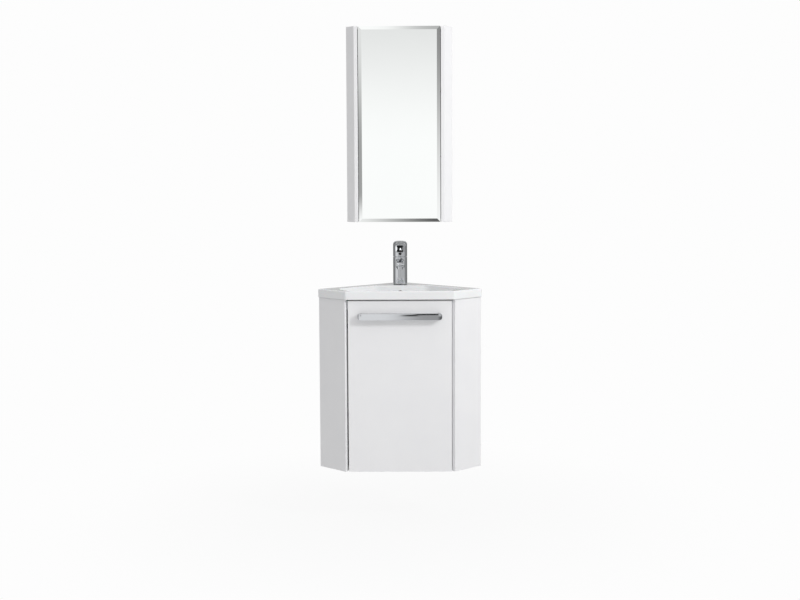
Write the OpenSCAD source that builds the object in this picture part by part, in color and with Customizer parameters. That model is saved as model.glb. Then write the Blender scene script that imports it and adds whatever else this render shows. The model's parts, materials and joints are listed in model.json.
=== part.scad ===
// Wall-hung corner vanity unit with a basin, a mixer tap and a matching mirror cabinet.
// Origin: the line where the two room walls meet, level with the underside of the cabinet.
// +Z is up, -Y is the front, and the walls run at 45 degrees to the left and right.

/* [Cabinet] */
// Distance along each wall from the corner to the outer face of the side panel
wall_run = 422; // [380:1:520]
// Width of each slanted side, from the wall to the front corner
side_w = 139.5; // [110:0.5:170]
// Height of the side panels
cab_h = 631; // [560:1:760]
// Thickness of the side and bottom boards
board_t = 18; // [15:1:22]
// Thickness of the back boards
back_t = 12; // [8:1:16]
// Length of each wall left open at the back corner for pipes
corner_gap = 70; // [50:5:110]
// Width of the side panel's edge that shows beside the door
land_w = 7; // [5:0.5:12]
// Height of the shelf's underside
shelf_z = 210; // [150:10:260]
// Thickness of the shelf
shelf_t = 16; // [12:1:19]

/* [Door] */
// Thickness of the door
door_t = 18; // [16:1:20]
// Gap round the door
door_gap = 4.5; // [3.5:0.5:6]
// Gap between the back of the door and the boards behind it
door_back_gap = 2; // [1.5:0.5:4]
// Distance from each end of the handle to the edge of the door
handle_margin = 36.7; // [20:0.1:80]
// Height of the handle's grip
handle_h = 25; // [16:1:32]
// How far the handle stands off the door
handle_out = 30; // [24:1:40]
// Thickness of the handle's bar
handle_t = 8; // [6:0.5:12]
// Distance from the top of the door to the middle of the handle
handle_drop = 55; // [40:1:90]

/* [Basin] */
// Height of the basin's front edge
rim_h = 32; // [24:1:50]
// How far the basin overhangs the side panels
overhang = 5.5; // [1:0.5:10]
// How far the basin overhangs the door
front_overhang = 11; // [1:0.5:15]
// Thickness of the deck and of the rim's skirt
deck_t = 12; // [9:1:16]
// Thickness of the bowl's wall
bowl_wall = 9; // [6:1:12]
// Depth of the bowl
bowl_depth = 118; // [95:1:135]
// Width of the rim in front of and beside the bowl
rim_w = 35; // [24:1:45]
// Width of the deck between the bowl and the walls
wall_deck = 45; // [40:1:60]
// Distance from the wall corner to the back of the bowl
bowl_back = 165; // [150:1:185]
// Distance from the wall corner to the middle of the drain
drain_y = 270; // [255:1:285]

/* [Tap] */
// Distance from the wall corner to the tap
tap_y = 100; // [90:1:110]
// Radius of the tap's body
tap_r = 26.7; // [22:0.1:28]
// Height of the tap's body above the basin
tap_body_h = 105; // [90:1:130]
// Reach of the spout from the tap's middle to the water outlet
spout_reach = 103; // [85:1:120]
// Width of the spout
spout_w = 34; // [28:1:40]
// Height of the lever's round head
lever_head_h = 58; // [45:1:70]
// Reach of the lever's tip from the tap's middle
lever_reach = 95; // [70:1:110]
// Width of the lever's arm at its tip
lever_w = 38; // [24:1:42]

/* [Mirror cabinet] */
// Distance along each wall from the corner to the mirror cabinet's outer face
mirror_run = 277.7; // [240:0.1:320]
// Width of each slanted side of the mirror cabinet
mirror_side_w = 41.6; // [20:0.2:60]
// Height of the mirror cabinet
mirror_h = 718; // [600:1:850]
// Gap between the basin's rim and the mirror cabinet
mirror_lift = 242; // [220:1:400]
// Thickness of the mirror cabinet's boards
post_t = 10; // [9:0.5:18]
// Thickness of the mirror glass
glass_t = 5; // [4:0.5:6]
// Width of the bevel round the mirror glass
bevel_w = 12.5; // [8:0.5:20]
// Gap between the mirror door and the posts
mirror_gap = 1.5; // [1.5:0.1:3]
// Thickness of the two glass shelves
glass_shelf_t = 6; // [5:0.5:8]

/* [Hidden] */
$fn = 64;
r2 = sqrt(2);
eps = 0.01;
touch = 0.3;      // gap of pieces that lie against each other on curved faces
fit = 0.1;        // radial clearance of a pin or tube in its hole

// Colours
gloss_white = [0.93, 0.93, 0.94];
inner_white = [0.88, 0.88, 0.87];
basin_white = [0.96, 0.96, 0.96];
chrome = [0.75, 0.76, 0.78];
zinc = [0.62, 0.63, 0.64];
rubber = [0.15, 0.15, 0.16];
trap_white = [0.9, 0.91, 0.92];
mirror_grey = [0.8, 0.84, 0.86];
shelf_glass = [0.7, 0.85, 0.83];
brass = [0.78, 0.66, 0.36];

// ---------- Plan geometry ----------
// A point at distance p along the right wall from the corner and q off that wall.
function wall_pt(p, q) = [(p - q) / r2, -(p + q) / r2];
function mirrored(pts) = [for (i = [len(pts) - 1:-1:0]) [-pts[i][0], pts[i][1]]];
function unit(v) = v / norm(v);

// The arc of radius r that rounds corner b between a and c, as n steps.
function corner_arc(a, b, c, r, n) =
    let (u = unit(a - b), v = unit(c - b),
         half = acos(u * v) / 2,
         centre = b + unit(u + v) * r / sin(half),
         s = b + u * r / tan(half) - centre,
         e = b + v * r / tan(half) - centre,
         a0 = atan2(s[1], s[0]),
         turn = atan2(s[0] * e[1] - s[1] * e[0], s * e))
    [for (i = [0:n]) centre + r * [cos(a0 + turn * i / n), sin(a0 + turn * i / n)]];
// Every corner rounded, where a radius is at most what the edges beside it have room for.
function rounded(pts, radii, n = 6) =
    let (m = len(pts),
         half = [for (i = [0:m - 1])
             acos(unit(pts[(i + m - 1) % m] - pts[i]) * unit(pts[(i + 1) % m] - pts[i])) / 2],
         used = [for (i = [0:m - 1]) radii[i] / tan(half[i])],
         share = [for (i = [0:m - 1])
             norm(pts[(i + 1) % m] - pts[i]) / (used[i] + used[(i + 1) % m])],
         fits = [for (i = [0:m - 1]) 0.999 * min(1, share[i], share[(i + m - 1) % m])])
    [for (i = [0:m - 1])
        each corner_arc(pts[(i + m - 1) % m], pts[i], pts[(i + 1) % m],
                        radii[i] * fits[i], n)];

// A board that stands along the right wall, from p0 to p1 along it and q0 to q1 off it.
module wall_block(p0, p1, q0, q1, z0, h)
    rotate([0, 0, -45]) translate([p0, -q1, z0]) cube([p1 - p0, q1 - q0, h]);

module flipped() mirror([1, 0, 0]) children();
module both_sides() { children(); mirror([1, 0, 0]) children(); }

// The right half of a board that fills the corner, mirrored into the whole board.
// It runs from the walls less q to the sides at p, with its front edge at y_front.
module corner_board(p, q, y_front, z0, t) {
    corner = wall_pt(q, q);
    half = (p + q) / r2 < y_front
        ? [corner, wall_pt(p, q), [p * r2 - y_front, -y_front]]
        : [corner, [y_front - q * r2, -y_front]];
    translate([0, 0, z0]) linear_extrude(t) polygon(concat(half, mirrored(half)));
}

// ---------- Sizes that follow from the driving ones ----------
cab_depth = (wall_run + side_w) / r2;
front_half = (wall_run - side_w) / r2;
door_half = front_half - land_w - door_gap;
door_h = cab_h - door_gap;
inner_p = wall_run - board_t;
boards_y = cab_depth - door_t - door_back_gap;
shelf_clear = 1;
shelf_setback = 40;

rail_t = 18;
rail_h = 68;
rail_top_gap = 2;
rail_p0 = corner_gap + 12;
rail_p1 = inner_p - 14;
wall_hole_r = 3.5;
wall_hole_first = 60;
wall_hole_last = 40;
wall_hole_ps = [rail_p0 + wall_hole_first, rail_p1 - wall_hole_last];
wall_hole_z = cab_h - rail_top_gap - rail_h / 2;

service_w = 120;
service_h = 140;
front_rail_t = 5;
front_rail_h = 32;
front_rail_drop = 5;

pin_r = 2.5;
pin_in = 9;
pin_out = 8;
shelf_pin_q = 70;
shelf_pin_p = 200;

bumper_r = 4;
bumper_x = door_half - 18;

// ---------- Cabinet ----------
module side_panel() color(gloss_white) difference() {
    wall_block(inner_p, wall_run, 0, cab_depth * r2 - inner_p, 0, cab_h);
    translate([0, -cab_depth - wall_run, -1]) cube([wall_run * 2, wall_run, cab_h + 2]);
    translate([0, -cab_depth - 1, -1])
        cube([front_half - land_w, board_t * r2 + 1, cab_h + 2]);
    side_pin_hole();
}
module side_pin_hole() rotate([0, 0, -45])
    translate([inner_p + pin_in, -shelf_pin_q, shelf_z - pin_r]) rotate([0, -90, 0])
        cylinder(r = pin_r + fit, h = pin_in + 1);

module back_panel() color(inner_white) difference() {
    wall_block(corner_gap, inner_p, 0, back_t, 0, cab_h);
    service_hole();
    for (p = wall_hole_ps) wall_hole(p, wall_hole_r);
    rotate([0, 0, -45]) translate([shelf_pin_p, -back_t + pin_in, shelf_z - pin_r])
        rotate([90, 0, 0]) cylinder(r = pin_r + fit, h = pin_in + 1);
}
module service_hole()
    wall_block(service_p - service_w / 2, service_p + service_w / 2, -1, back_t + 1,
               outlet_z - service_h / 2, service_h);
module wall_hole(p, r) rotate([0, 0, -45]) translate([p, 1, wall_hole_z])
    rotate([90, 0, 0]) cylinder(r = r, h = back_t + rail_t + 2);

module left_side_panel() flipped() side_panel();
module right_side_panel() side_panel();
module left_back_panel() flipped() back_panel();
module right_back_panel() back_panel();

module bottom_panel() color(inner_white)
    corner_board(inner_p, back_t, boards_y, 0, board_t);

module hanging_rails() color(inner_white) both_sides() difference() {
    wall_block(rail_p0, rail_p1, back_t, back_t + rail_t,
               cab_h - rail_top_gap - rail_h, rail_h);
    for (p = wall_hole_ps) wall_hole(p, wall_hole_r);
}

module front_rail() color(zinc)
    translate([0, 0, cab_h - front_rail_drop - front_rail_h])
        linear_extrude(front_rail_h) polygon([
            [inner_p * r2 - boards_y, -boards_y],
            [inner_p * r2 - boards_y + front_rail_t, -boards_y + front_rail_t],
            [-inner_p * r2 + boards_y - front_rail_t, -boards_y + front_rail_t],
            [-inner_p * r2 + boards_y, -boards_y]
        ]);

module shelf() color(inner_white)
    corner_board(inner_p - shelf_clear, back_t + shelf_clear,
                 boards_y - shelf_setback, shelf_z, shelf_t);

module shelf_pins() color(zinc) both_sides() {
    rotate([0, 0, -45]) translate([inner_p + pin_in - fit, -shelf_pin_q, shelf_z - pin_r])
        rotate([0, -90, 0]) cylinder(r = pin_r, h = pin_in + pin_out);
    rotate([0, 0, -45]) translate([shelf_pin_p, -back_t + pin_in - fit, shelf_z - pin_r])
        rotate([90, 0, 0]) cylinder(r = pin_r, h = pin_in + pin_out);
}

module door_bumpers() color(rubber)
    for (z = [board_t / 2, cab_h - front_rail_drop - front_rail_h / 2])
        translate([bumper_x, -boards_y, z]) rotate([90, 0, 0])
            cylinder(r = bumper_r, h = door_back_gap - touch);

// ---------- Concealed hinges ----------
// A hinge is drawn in its own frame: x runs into the door from its hinge edge,
// y runs back from the door's face, and z is up from the hinge's middle.
arm_pivot = [28, 32];    // fixed pin, in the arm
cup_pivot = [8, 13.5];   // pin in the cup
link_bend = [[15, 9.7], [20.5, 16.5]]; // the link's crank round the door's edge
cup_x = 21;
cup_r = 17.5;
cup_depth = 11.5;
cup_skin = 1;
flange_h = 52;
flange_x = [11, 31];
flange_t = 1.2;
hinge_pin_r = 1.25;
link_h = 10;
link_t = 2.6;
link_eye_r = 3;
link_cup_eye_r = 2.3;
fork_h = 16;
fork_gap = 0.4;
fork_r = 4;
fork_clear_r = 8.5;
plate_t = 4;
plate_h = 34;
plate_l = 46;
arm_t = 5;
screw_head_r = 3.4;
screw_head_t = 1.4;
cup_screw_z = 22;
cup_screw_x = 26;
cup_screw_r = 1.7;
arm_run = 78;
arm_end_in = 4;

function stroke(a, b, t) =
    let (n = unit([a[1] - b[1], b[0] - a[0]]) * t / 2) [a + n, a - n, b - n, b + n];
module bar(a, b, t, h)
    translate([0, 0, -h / 2]) linear_extrude(h) polygon(stroke(a, b, t));
module post(at, r, h) translate([at[0], at[1], -h / 2]) cylinder(r = r, h = h);
module along_y(x, y, r, h, z = 0) translate([x, y, z]) rotate([-90, 0, 0])
    cylinder(r = r, h = h);

module hinge_cup() difference() {
    union() {
        along_y(cup_x, door_t - cup_depth, cup_r, cup_depth);
        translate([flange_x[0], door_t, -flange_h / 2])
            cube([flange_x[1] - flange_x[0], flange_t, flange_h]);
    }
    along_y(cup_x, door_t - cup_depth + cup_skin, cup_r - cup_skin, cup_depth + flange_t);
    post(cup_pivot, hinge_pin_r + fit / 2, 2 * cup_pin_half + 0.4);
    for (z = [-1, 1]) along_y(cup_screw_x, door_t - 1, cup_screw_r + fit, flange_t + 2,
                              z * cup_screw_z);
}
cup_pin_half = 0.5 + sqrt(pow(cup_r - cup_skin, 2) - pow(cup_x - cup_pivot[0], 2));
module cup_pin() post(cup_pivot, hinge_pin_r, 2 * cup_pin_half);
module cup_screws() for (z = [-1, 1]) {
    along_y(cup_screw_x, door_t - 9, cup_screw_r, 9 + flange_t, z * cup_screw_z);
    along_y(cup_screw_x, door_t + flange_t, screw_head_r, screw_head_t, z * cup_screw_z);
}
module cup_holes() {
    along_y(cup_x, door_t - cup_depth, cup_r + fit, cup_depth + 1);
    for (z = [-1, 1]) along_y(cup_screw_x, door_t - 9, cup_screw_r + fit, 10,
                              z * cup_screw_z);
}

module hinge_link() difference() {
    union() {
        post(cup_pivot, link_cup_eye_r, link_h);
        post(arm_pivot, link_eye_r, link_h);
        for (b = link_bend) post(b, link_t / 2, link_h);
        bar(cup_pivot, link_bend[0], link_t, link_h);
        bar(link_bend[0], link_bend[1], link_t, link_h);
        bar(link_bend[1], arm_pivot, link_t, link_h);
    }
    post(cup_pivot, hinge_pin_r + fit / 2, link_h + 1);
    post(arm_pivot, hinge_pin_r + fit / 2, link_h + 1);
}
module arm_pin() post(arm_pivot, hinge_pin_r, fork_h);

// The arm from its fork at the fixed pin to a plate whose near face passes through foot,
// with its middle there, and whose screws point along angle.
module hinge_arm(knee, foot) difference() {
    union() {
        post(arm_pivot, fork_r, fork_h);
        bar(arm_pivot, knee, arm_t, fork_h);
        post(knee, arm_t / 2, fork_h);
        bar(knee, foot, arm_t, fork_h);
    }
    post(arm_pivot, hinge_pin_r + fit / 2, fork_h + 1);
    post(arm_pivot, fork_clear_r, link_h + 2 * fork_gap);
}

// ---------- Vanity door, with its hinges on the left ----------
hinge_inset = 100;
hinge_zs = [hinge_inset, cab_h - hinge_inset];
module at_hinges() for (z = hinge_zs) translate([-door_half, -cab_depth, z]) children();

// The side panel's inner face, as seen from the hinge: x + y = side_line.
side_line = door_half - (front_half - board_t * r2);
side_dir = [-1, 1] / r2;
side_in = [1, 1] / r2;
arm_seat = side_line * [0.5, 0.5] + side_dir * arm_run;
arm_knee = arm_seat - side_dir * (plate_l / 2 - arm_end_in) + side_in * (plate_t + arm_t / 2);
arm_foot = arm_seat + side_dir * (plate_l / 2 - arm_end_in) + side_in * (plate_t + arm_t / 2);

module hinge_cups() color(zinc) at_hinges() hinge_cup();
module hinge_cup_pins() color(chrome) at_hinges() cup_pin();
module hinge_cup_screws() color(zinc) at_hinges() cup_screws();
module hinge_links() color(zinc) at_hinges() hinge_link();
module hinge_arm_pins() color(chrome) at_hinges() arm_pin();
module hinge_arms() color(zinc) at_hinges() hinge_arm(arm_knee, arm_foot);
module hinge_plates() color(zinc) at_hinges()
    bar(arm_seat - side_dir * plate_l / 2 + side_in * plate_t / 2,
        arm_seat + side_dir * plate_l / 2 + side_in * plate_t / 2, plate_t, plate_h);

handle_z = door_h - handle_drop;
handle_l = 2 * (door_half - handle_margin);
handle_leg = 16;
handle_hole_x = handle_l / 2 - 9;
handle_screw_r = 2;
edge_r = 1.5;

module door_panel() color(gloss_white) difference() {
    linear_extrude(door_h) polygon(rounded([
        [door_half, -cab_depth], [door_half, -cab_depth + door_t],
        [-door_half, -cab_depth + door_t], [-door_half, -cab_depth]
    ], [edge_r, edge_r, edge_r, edge_r], 4));
    at_hinges() cup_holes();
    for (x = [-1, 1]) translate([x * handle_hole_x, -cab_depth - 1, handle_z])
        rotate([-90, 0, 0]) cylinder(r = handle_screw_r + fit, h = door_t + 2);
}

// The handle's plan is a flat bridge with rounded shoulders, and its front has round ends.
module door_handle() color(chrome) {
    shoulder = 14;
    outer = [
        [handle_l / 2, 0], [handle_l / 2, -handle_out],
        [-handle_l / 2, -handle_out], [-handle_l / 2, 0]
    ];
    inner = [
        [handle_l / 2 - handle_leg, 1], [handle_l / 2 - handle_leg, -handle_out + handle_t],
        [-handle_l / 2 + handle_leg, -handle_out + handle_t], [-handle_l / 2 + handle_leg, 1]
    ];
    translate([0, -cab_depth, handle_z]) difference() {
        intersection() {
            translate([0, 0, -handle_h / 2]) linear_extrude(handle_h)
                polygon(rounded(outer, [0.5, shoulder, shoulder, 0.5], 8));
            rotate([90, 0, 0]) linear_extrude(handle_out + 1)
                polygon(rounded([
                    [handle_l / 2, handle_h / 2], [-handle_l / 2, handle_h / 2],
                    [-handle_l / 2, -handle_h / 2], [handle_l / 2, -handle_h / 2]
                ], [1, 1, 1, 1] * (handle_h / 2 - 1), 8));
        }
        translate([0, 0, -handle_h]) linear_extrude(2 * handle_h)
            polygon(rounded(inner, [0.5, 6, 6, 0.5], 6));
        for (x = [-1, 1]) translate([x * handle_hole_x, 1, 0]) rotate([90, 0, 0])
            cylinder(r = handle_screw_r + fit, h = 13);
    }
}

module handle_screws() color(zinc)
    for (x = [-1, 1]) translate([x * handle_hole_x, -cab_depth + door_t, handle_z]) {
        translate([0, -door_t - 11, 0]) rotate([-90, 0, 0])
            cylinder(r = handle_screw_r, h = door_t + 11);
        rotate([-90, 0, 0]) cylinder(r = 4, h = door_back_gap - 0.3);
    }

// ---------- Basin ----------
rim_z = cab_h + rim_h;
basin_run = wall_run + overhang;
basin_depth = cab_depth + front_overhang;
basin_front_half = basin_run * r2 - basin_depth;
bowl_z = rim_z - bowl_depth;
drain_r = 22.5;
overflow_r = 11;
overflow_drop = 32;
tap_hole_r = 17.5;
basin_corners = [4, 4, 6]; // at the back, at the walls, in front
top_round = 4;
bottom_round = 3;

// The basin's outline, drawn in by s on every side.
function basin_plan(s) =
    let (run = basin_run - s, half = run * r2 - (basin_depth - s),
         right = [wall_pt(s, s), wall_pt(run, s), [half, -(basin_depth - s)]],
         corner = [for (r = basin_corners) max(1, r - s)])
    rounded(concat([right[0]], [right[1]], [right[2]], [[-right[2][0], right[2][1]]],
                   [[-right[1][0], right[1][1]]]),
            [corner[0], corner[1], corner[2], corner[2], corner[1]], 5);

// The bowl's outline, drawn in by s, with its back edge drawn in by b.
bowl_fillets = [48, 62, 46]; // at the back, at the widest point, in front
function bowl_plan(s, b) =
    let (yf = basin_depth - rim_w - s, p = basin_run - rim_w - s, q = wall_deck + s,
         yb = bowl_back + b,
         front = [p * r2 - yf, -yf], wide = wall_pt(p, q), back = [yb - q * r2, -yb])
    rounded([back, wide, front, [-front[0], front[1]], [-wide[0], wide[1]],
             [-back[0], back[1]]],
            concat(bowl_fillets, [for (i = [2, 1, 0]) bowl_fillets[i]]), 8);

// The bowl's wall at shares of its depth: how far it is drawn in at the sides and the back.
rim_round = 3;
bowl_shares = [0.34, 0.64, 0.83];
bowl_side_in = [12, 26, 44];
bowl_back_in = [7, 13.7, 26];
floor_shares = [0.94, 0.985, 1];
floor_radii = [48, 42, 36];

module bowl(wall) hull() {
    translate([0, 0, rim_z - rim_round])
        linear_extrude(eps) polygon(bowl_plan(-wall, -wall));
    for (i = [0:2]) translate([0, 0, rim_z - bowl_shares[i] * bowl_depth - wall * 0.3])
        linear_extrude(eps) polygon(bowl_plan(bowl_side_in[i] - wall, bowl_back_in[i] - wall));
    for (i = [0:2]) translate([0, -drain_y, rim_z - floor_shares[i] * bowl_depth - wall])
        cylinder(r = floor_radii[i] + wall, h = eps, $fn = 48);
}

// The basin's block, with its upper and lower edges rounded as two chamfers each.
module basin_block() hull() {
    for (e = [[cab_h, bottom_round], [cab_h + 0.3 * bottom_round, 0.3 * bottom_round],
              [cab_h + bottom_round, 0], [rim_z - top_round - eps, 0],
              [rim_z - 0.3 * top_round, 0.3 * top_round], [rim_z - eps, top_round]])
        translate([0, 0, e[0]]) linear_extrude(eps) polygon(basin_plan(e[1]));
}

module basin() color(basin_white) difference() {
    union() {
        difference() {
            basin_block();
            translate([0, 0, cab_h - 1]) linear_extrude(rim_h - deck_t + 1)
                polygon(basin_plan(deck_t));
        }
        bowl(bowl_wall);
        overflow_duct();
    }
    bowl(0);
    hull() {
        translate([0, 0, rim_z - rim_round]) linear_extrude(eps)
            polygon(bowl_plan(0, 0));
        translate([0, 0, rim_z]) linear_extrude(eps)
            polygon(bowl_plan(-rim_round, -rim_round));
    }
    translate([0, -drain_y, bowl_z - bowl_wall - 1])
        cylinder(r = drain_r, h = bowl_wall + 2);
    translate([0, -tap_y, cab_h]) cylinder(r = tap_hole_r, h = rim_h + 1);
    overflow_hole(overflow_r);
}
// The rear wall of the bowl leans back by this angle where the overflow is.
wall_lean = atan(bowl_back_in[0] / (bowl_shares[0] * bowl_depth - rim_round));
overflow_y = bowl_back + (overflow_drop - rim_round) * tan(wall_lean);
module at_overflow() translate([0, -overflow_y, rim_z - overflow_drop])
    rotate([-90 - wall_lean, 0, 0]) children();
module overflow_hole(r) at_overflow() translate([0, 0, -20])
    cylinder(r = r, h = 20 + bowl_wall + 6);
module overflow_duct() {
    duct_w = 34;
    duct_out = 14;
    difference() {
        translate([-duct_w / 2, -bowl_back - 2, rim_z - overflow_drop - 22])
            cube([duct_w, bowl_wall + duct_out, 22 + overflow_drop - deck_t + 1]);
        translate([-duct_w / 2 + 4, -bowl_back + 6, rim_z - overflow_drop - 18])
            cube([duct_w - 8, bowl_wall + duct_out - 12, 30]);
    }
}

module overflow_ring() color(chrome) at_overflow() difference() {
    union() {
        translate([0, 0, -2 - touch / 10]) cylinder(r = overflow_r + 3, h = 2);
        translate([0, 0, -2]) cylinder(r = overflow_r - fit, h = 11);
    }
    translate([0, 0, -3]) cylinder(r = overflow_r - 2.5, h = 16);
}

// ---------- Waste ----------
waste_r = 20.8;
waste_bore_r = 17;
flange_r = 31;
seal_t = 1.5;
flange_z = bowl_z + seal_t;
waste_flange_t = 2.5;
waste_l = 70;
waste_end_z = flange_z + waste_flange_t - waste_l;
nut_r = 28;
plug_r = 25;
plug_stem_r = 3.5;
plug_crown_r = 80;
plug_crown = 5;
spider_z = waste_end_z + 24;
spider_t = 8;

module at_drain(z) translate([0, -drain_y, z]) children();
module tube(r, bore, h) difference() {
    cylinder(r = r, h = h);
    translate([0, 0, -1]) cylinder(r = bore, h = h + 2);
}

module waste_body() color(chrome) {
    difference() {
        at_drain(waste_end_z) union() {
            cylinder(r = waste_r, h = waste_l);
            translate([0, 0, waste_l - waste_flange_t])
                cylinder(r = flange_r, h = waste_flange_t);
        }
        at_drain(waste_end_z - 1) cylinder(r = waste_bore_r, h = waste_l + 2);
        for (a = [0, 90]) at_drain(flange_z - 22) rotate([0, 0, a])
            translate([-4, -waste_r - 2, 0]) cube([8, 2 * waste_r + 4, 8]);
    }
    difference() {
        union() {
            at_drain(spider_z) cylinder(r = 7, h = spider_t);
            at_drain(spider_z) intersection() {
                translate([-waste_r, -2, 0]) cube([2 * waste_r, 4, spider_t]);
                cylinder(r = waste_bore_r + 1, h = spider_t);
            }
        }
        at_drain(spider_z - 1) cylinder(r = plug_stem_r + fit, h = spider_t + 2);
    }
}

module waste_seals() color(rubber) {
    at_drain(bowl_z) tube(flange_r - 1, drain_r + 1, seal_t);
    at_drain(bowl_z - bowl_wall - 3) tube(nut_r, waste_r + fit, 3);
}
module waste_backnut() color(zinc) at_drain(bowl_z - bowl_wall - 3 - 9) difference() {
    cylinder(r = nut_r + 2, h = 9, $fn = 6);
    translate([0, 0, -1]) cylinder(r = waste_r + fit, h = 11);
}
module waste_plug() color(chrome) {
    top = flange_z + waste_flange_t;
    at_drain(top + touch) cylinder(r = plug_r, h = 2);
    at_drain(top + touch + 2) intersection() {
        translate([0, 0, plug_crown - plug_crown_r]) sphere(r = plug_crown_r, $fn = 128);
        cylinder(r = plug_r, h = 6);
    }
    at_drain(spider_z - 4) cylinder(r = plug_stem_r, h = top + touch - spider_z + 4.5);
}

// ---------- Bottle trap ----------
tail_r = 16;
tail_bore_r = 14.5;
outlet_z = waste_end_z - 64;
bottle_r = 32;
bottle_top_z = waste_end_z - 42;
bottle_h = 70;
trap_nut_r = 27;
trap_nut_h = 22;
outlet_len = drain_y / r2;
service_p = drain_y / r2;
bottle_wall = 3;
neck_r = 21;
neck_h = 12;
stub_r = 20;
stub_end = 50;
tail_dip = 46;
tail_into_waste = 8;
nut_lip = 6;
nut_on_waste = 10;
nut_past_stub = 8.5;

// A slip nut: a threaded skirt that grips neck radius, and a lip round the tube.
module slip_nut(inner) difference() {
    cylinder(r = trap_nut_r, h = trap_nut_h);
    translate([0, 0, nut_lip]) cylinder(r = inner + fit, h = trap_nut_h);
    translate([0, 0, -1]) cylinder(r = tail_r + fit, h = nut_lip + 2);
    for (a = [0:30:330]) rotate([0, 0, a])
        translate([trap_nut_r + 1.5, 0, -1]) cylinder(r = 3, h = trap_nut_h + 2);
}
module toward_wall() at_drain(outlet_z) rotate([0, 0, -45]) rotate([-90, 0, 0]) children();

module trap_tailpiece() color(trap_white) {
    at_drain(bottle_top_z - tail_dip) tube(tail_r, tail_bore_r,
        waste_end_z + tail_into_waste - bottle_top_z + tail_dip);
    at_drain(waste_end_z - 4) tube(waste_r - 1, tail_r - eps, 3.8);
}
module trap_nuts() color(trap_white) {
    at_drain(waste_end_z - nut_on_waste) slip_nut(waste_r);
    at_drain(bottle_top_z + trap_nut_h + touch) mirror([0, 0, 1]) slip_nut(neck_r);
    toward_wall() translate([0, 0, stub_end + nut_past_stub]) mirror([0, 0, 1]) slip_nut(stub_r);
}
module trap_bottle() color(trap_white) difference() {
    union() {
        at_drain(bottle_top_z - bottle_h) cylinder(r = bottle_r, h = bottle_h);
        at_drain(bottle_top_z - eps) cylinder(r = neck_r, h = neck_h + eps);
        toward_wall() cylinder(r = stub_r, h = stub_end);
    }
    at_drain(bottle_top_z - bottle_h - 1)
        cylinder(r = bottle_r - bottle_wall, h = bottle_h - bottle_wall + 1);
    at_drain(bottle_top_z - 5) cylinder(r = tail_r + fit, h = neck_h + 6);
    toward_wall() cylinder(r = tail_r, h = stub_end + 1);
}
module trap_cup() color(trap_white) at_drain(bottle_top_z - bottle_h - 12) {
    difference() {
        union() {
            cylinder(r = bottle_r + 2, h = 12);
            cylinder(r = bottle_r - bottle_wall - fit, h = 20);
        }
        translate([0, 0, 3]) cylinder(r = bottle_r - 2 * bottle_wall, h = 20);
        for (a = [0:30:330]) rotate([0, 0, a])
            translate([bottle_r + 4, 0, -1]) cylinder(r = 3.2, h = 14);
    }
}
module trap_outlet_pipe() color(trap_white) toward_wall() difference() {
    union() {
        translate([0, 0, stub_end - 20]) cylinder(r = tail_r - 0.2, h = 40);
        translate([0, 0, stub_end + 20])
            cylinder(r = tail_r, h = outlet_len - stub_end - 20);
    }
    translate([0, 0, 5]) cylinder(r = tail_bore_r, h = outlet_len);
}

// ---------- Tap ----------
body_z = rim_z + 1.5;
body_top_z = rim_z + tap_body_h;
pivot_z = body_top_z - 3;
cartridge_r = 17.5;
cartridge_z = body_top_z - 38;
nut_seat_z = body_top_z - 9;
dome_r = 20.5;
socket_r = dome_r + 0.8;
fork_disc_r = 11;
stem_r = 4;
stem_h = 38;
lever_gap = 2;
lever_z = body_top_z + lever_gap;
lever_lift = 22;
aerator_r = 11;
aerator_drop = 41;
aerator_z = body_top_z - aerator_drop;
aerator_bore_up = 14;
stud_r = 4;
stud_y = 9;
stud_down = 80;
stud_up = 12;
tail_pipe_r = 4.8;
tail_pipe_at = [8, -6];
tail_end_r = 6;
tail_end_l = 22;
tail_drop = 55;
tail_end_z = rim_z - tail_drop;

module at_tap(z) translate([0, -tap_y, z]) children();
// A solid with this side outline (forward, up from the basin) and a given width.
module side_cut(pts, w) translate([0, -tap_y, rim_z]) rotate([90, 0, -90])
    translate([0, 0, -w / 2]) linear_extrude(w) polygon(pts);

module tap_body() color(chrome) difference() {
    union() {
        at_tap(body_z) cylinder(r = tap_r, h = body_top_z - body_z);
        spout();
    }
    at_tap(cartridge_z) cylinder(r = cartridge_r + fit, h = 60);
    at_tap(nut_seat_z) cylinder(r = dome_r - 0.5 + fit, h = 60);
    at_tap(body_z - 1) translate([0, stud_y, 0]) cylinder(r = stud_r, h = 14);
    for (s = [-1, 1]) at_tap(body_z - 1)
        translate([s * tail_pipe_at[0], tail_pipe_at[1], 0])
            cylinder(r = tail_pipe_r, h = 14);
    at_tap(aerator_z - aerator_bore_up) translate([0, -spout_reach, 0])
        cylinder(r = aerator_r + fit, h = 2 * aerator_bore_up);
}
module spout() {
    tip = spout_reach + aerator_r + 3;
    top = tap_body_h - 3;
    intersection() {
        side_cut([
            [0, top], [spout_reach - 8, top - 7], [tip - 4, top - 9.5], [tip, top - 14],
            [tip, top - 27], [spout_reach - aerator_r - 3, top - 27],
            [spout_reach - aerator_r - 10, top - 24], [tap_r, top - 42], [0, top - 48]
        ], spout_w);
        at_tap(rim_z) linear_extrude(tap_body_h + 5) polygon(rounded([
            [spout_w / 2, 0], [-spout_w / 2, 0],
            [-spout_w / 2 + 1, -tip], [spout_w / 2 - 1, -tip]
        ], [0.1, 0.1, 12, 12], 6));
    }
}
module tap_base_seal() color(rubber) at_tap(rim_z) tube(tap_r - 1, tap_hole_r + 1, 1.5);

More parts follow.
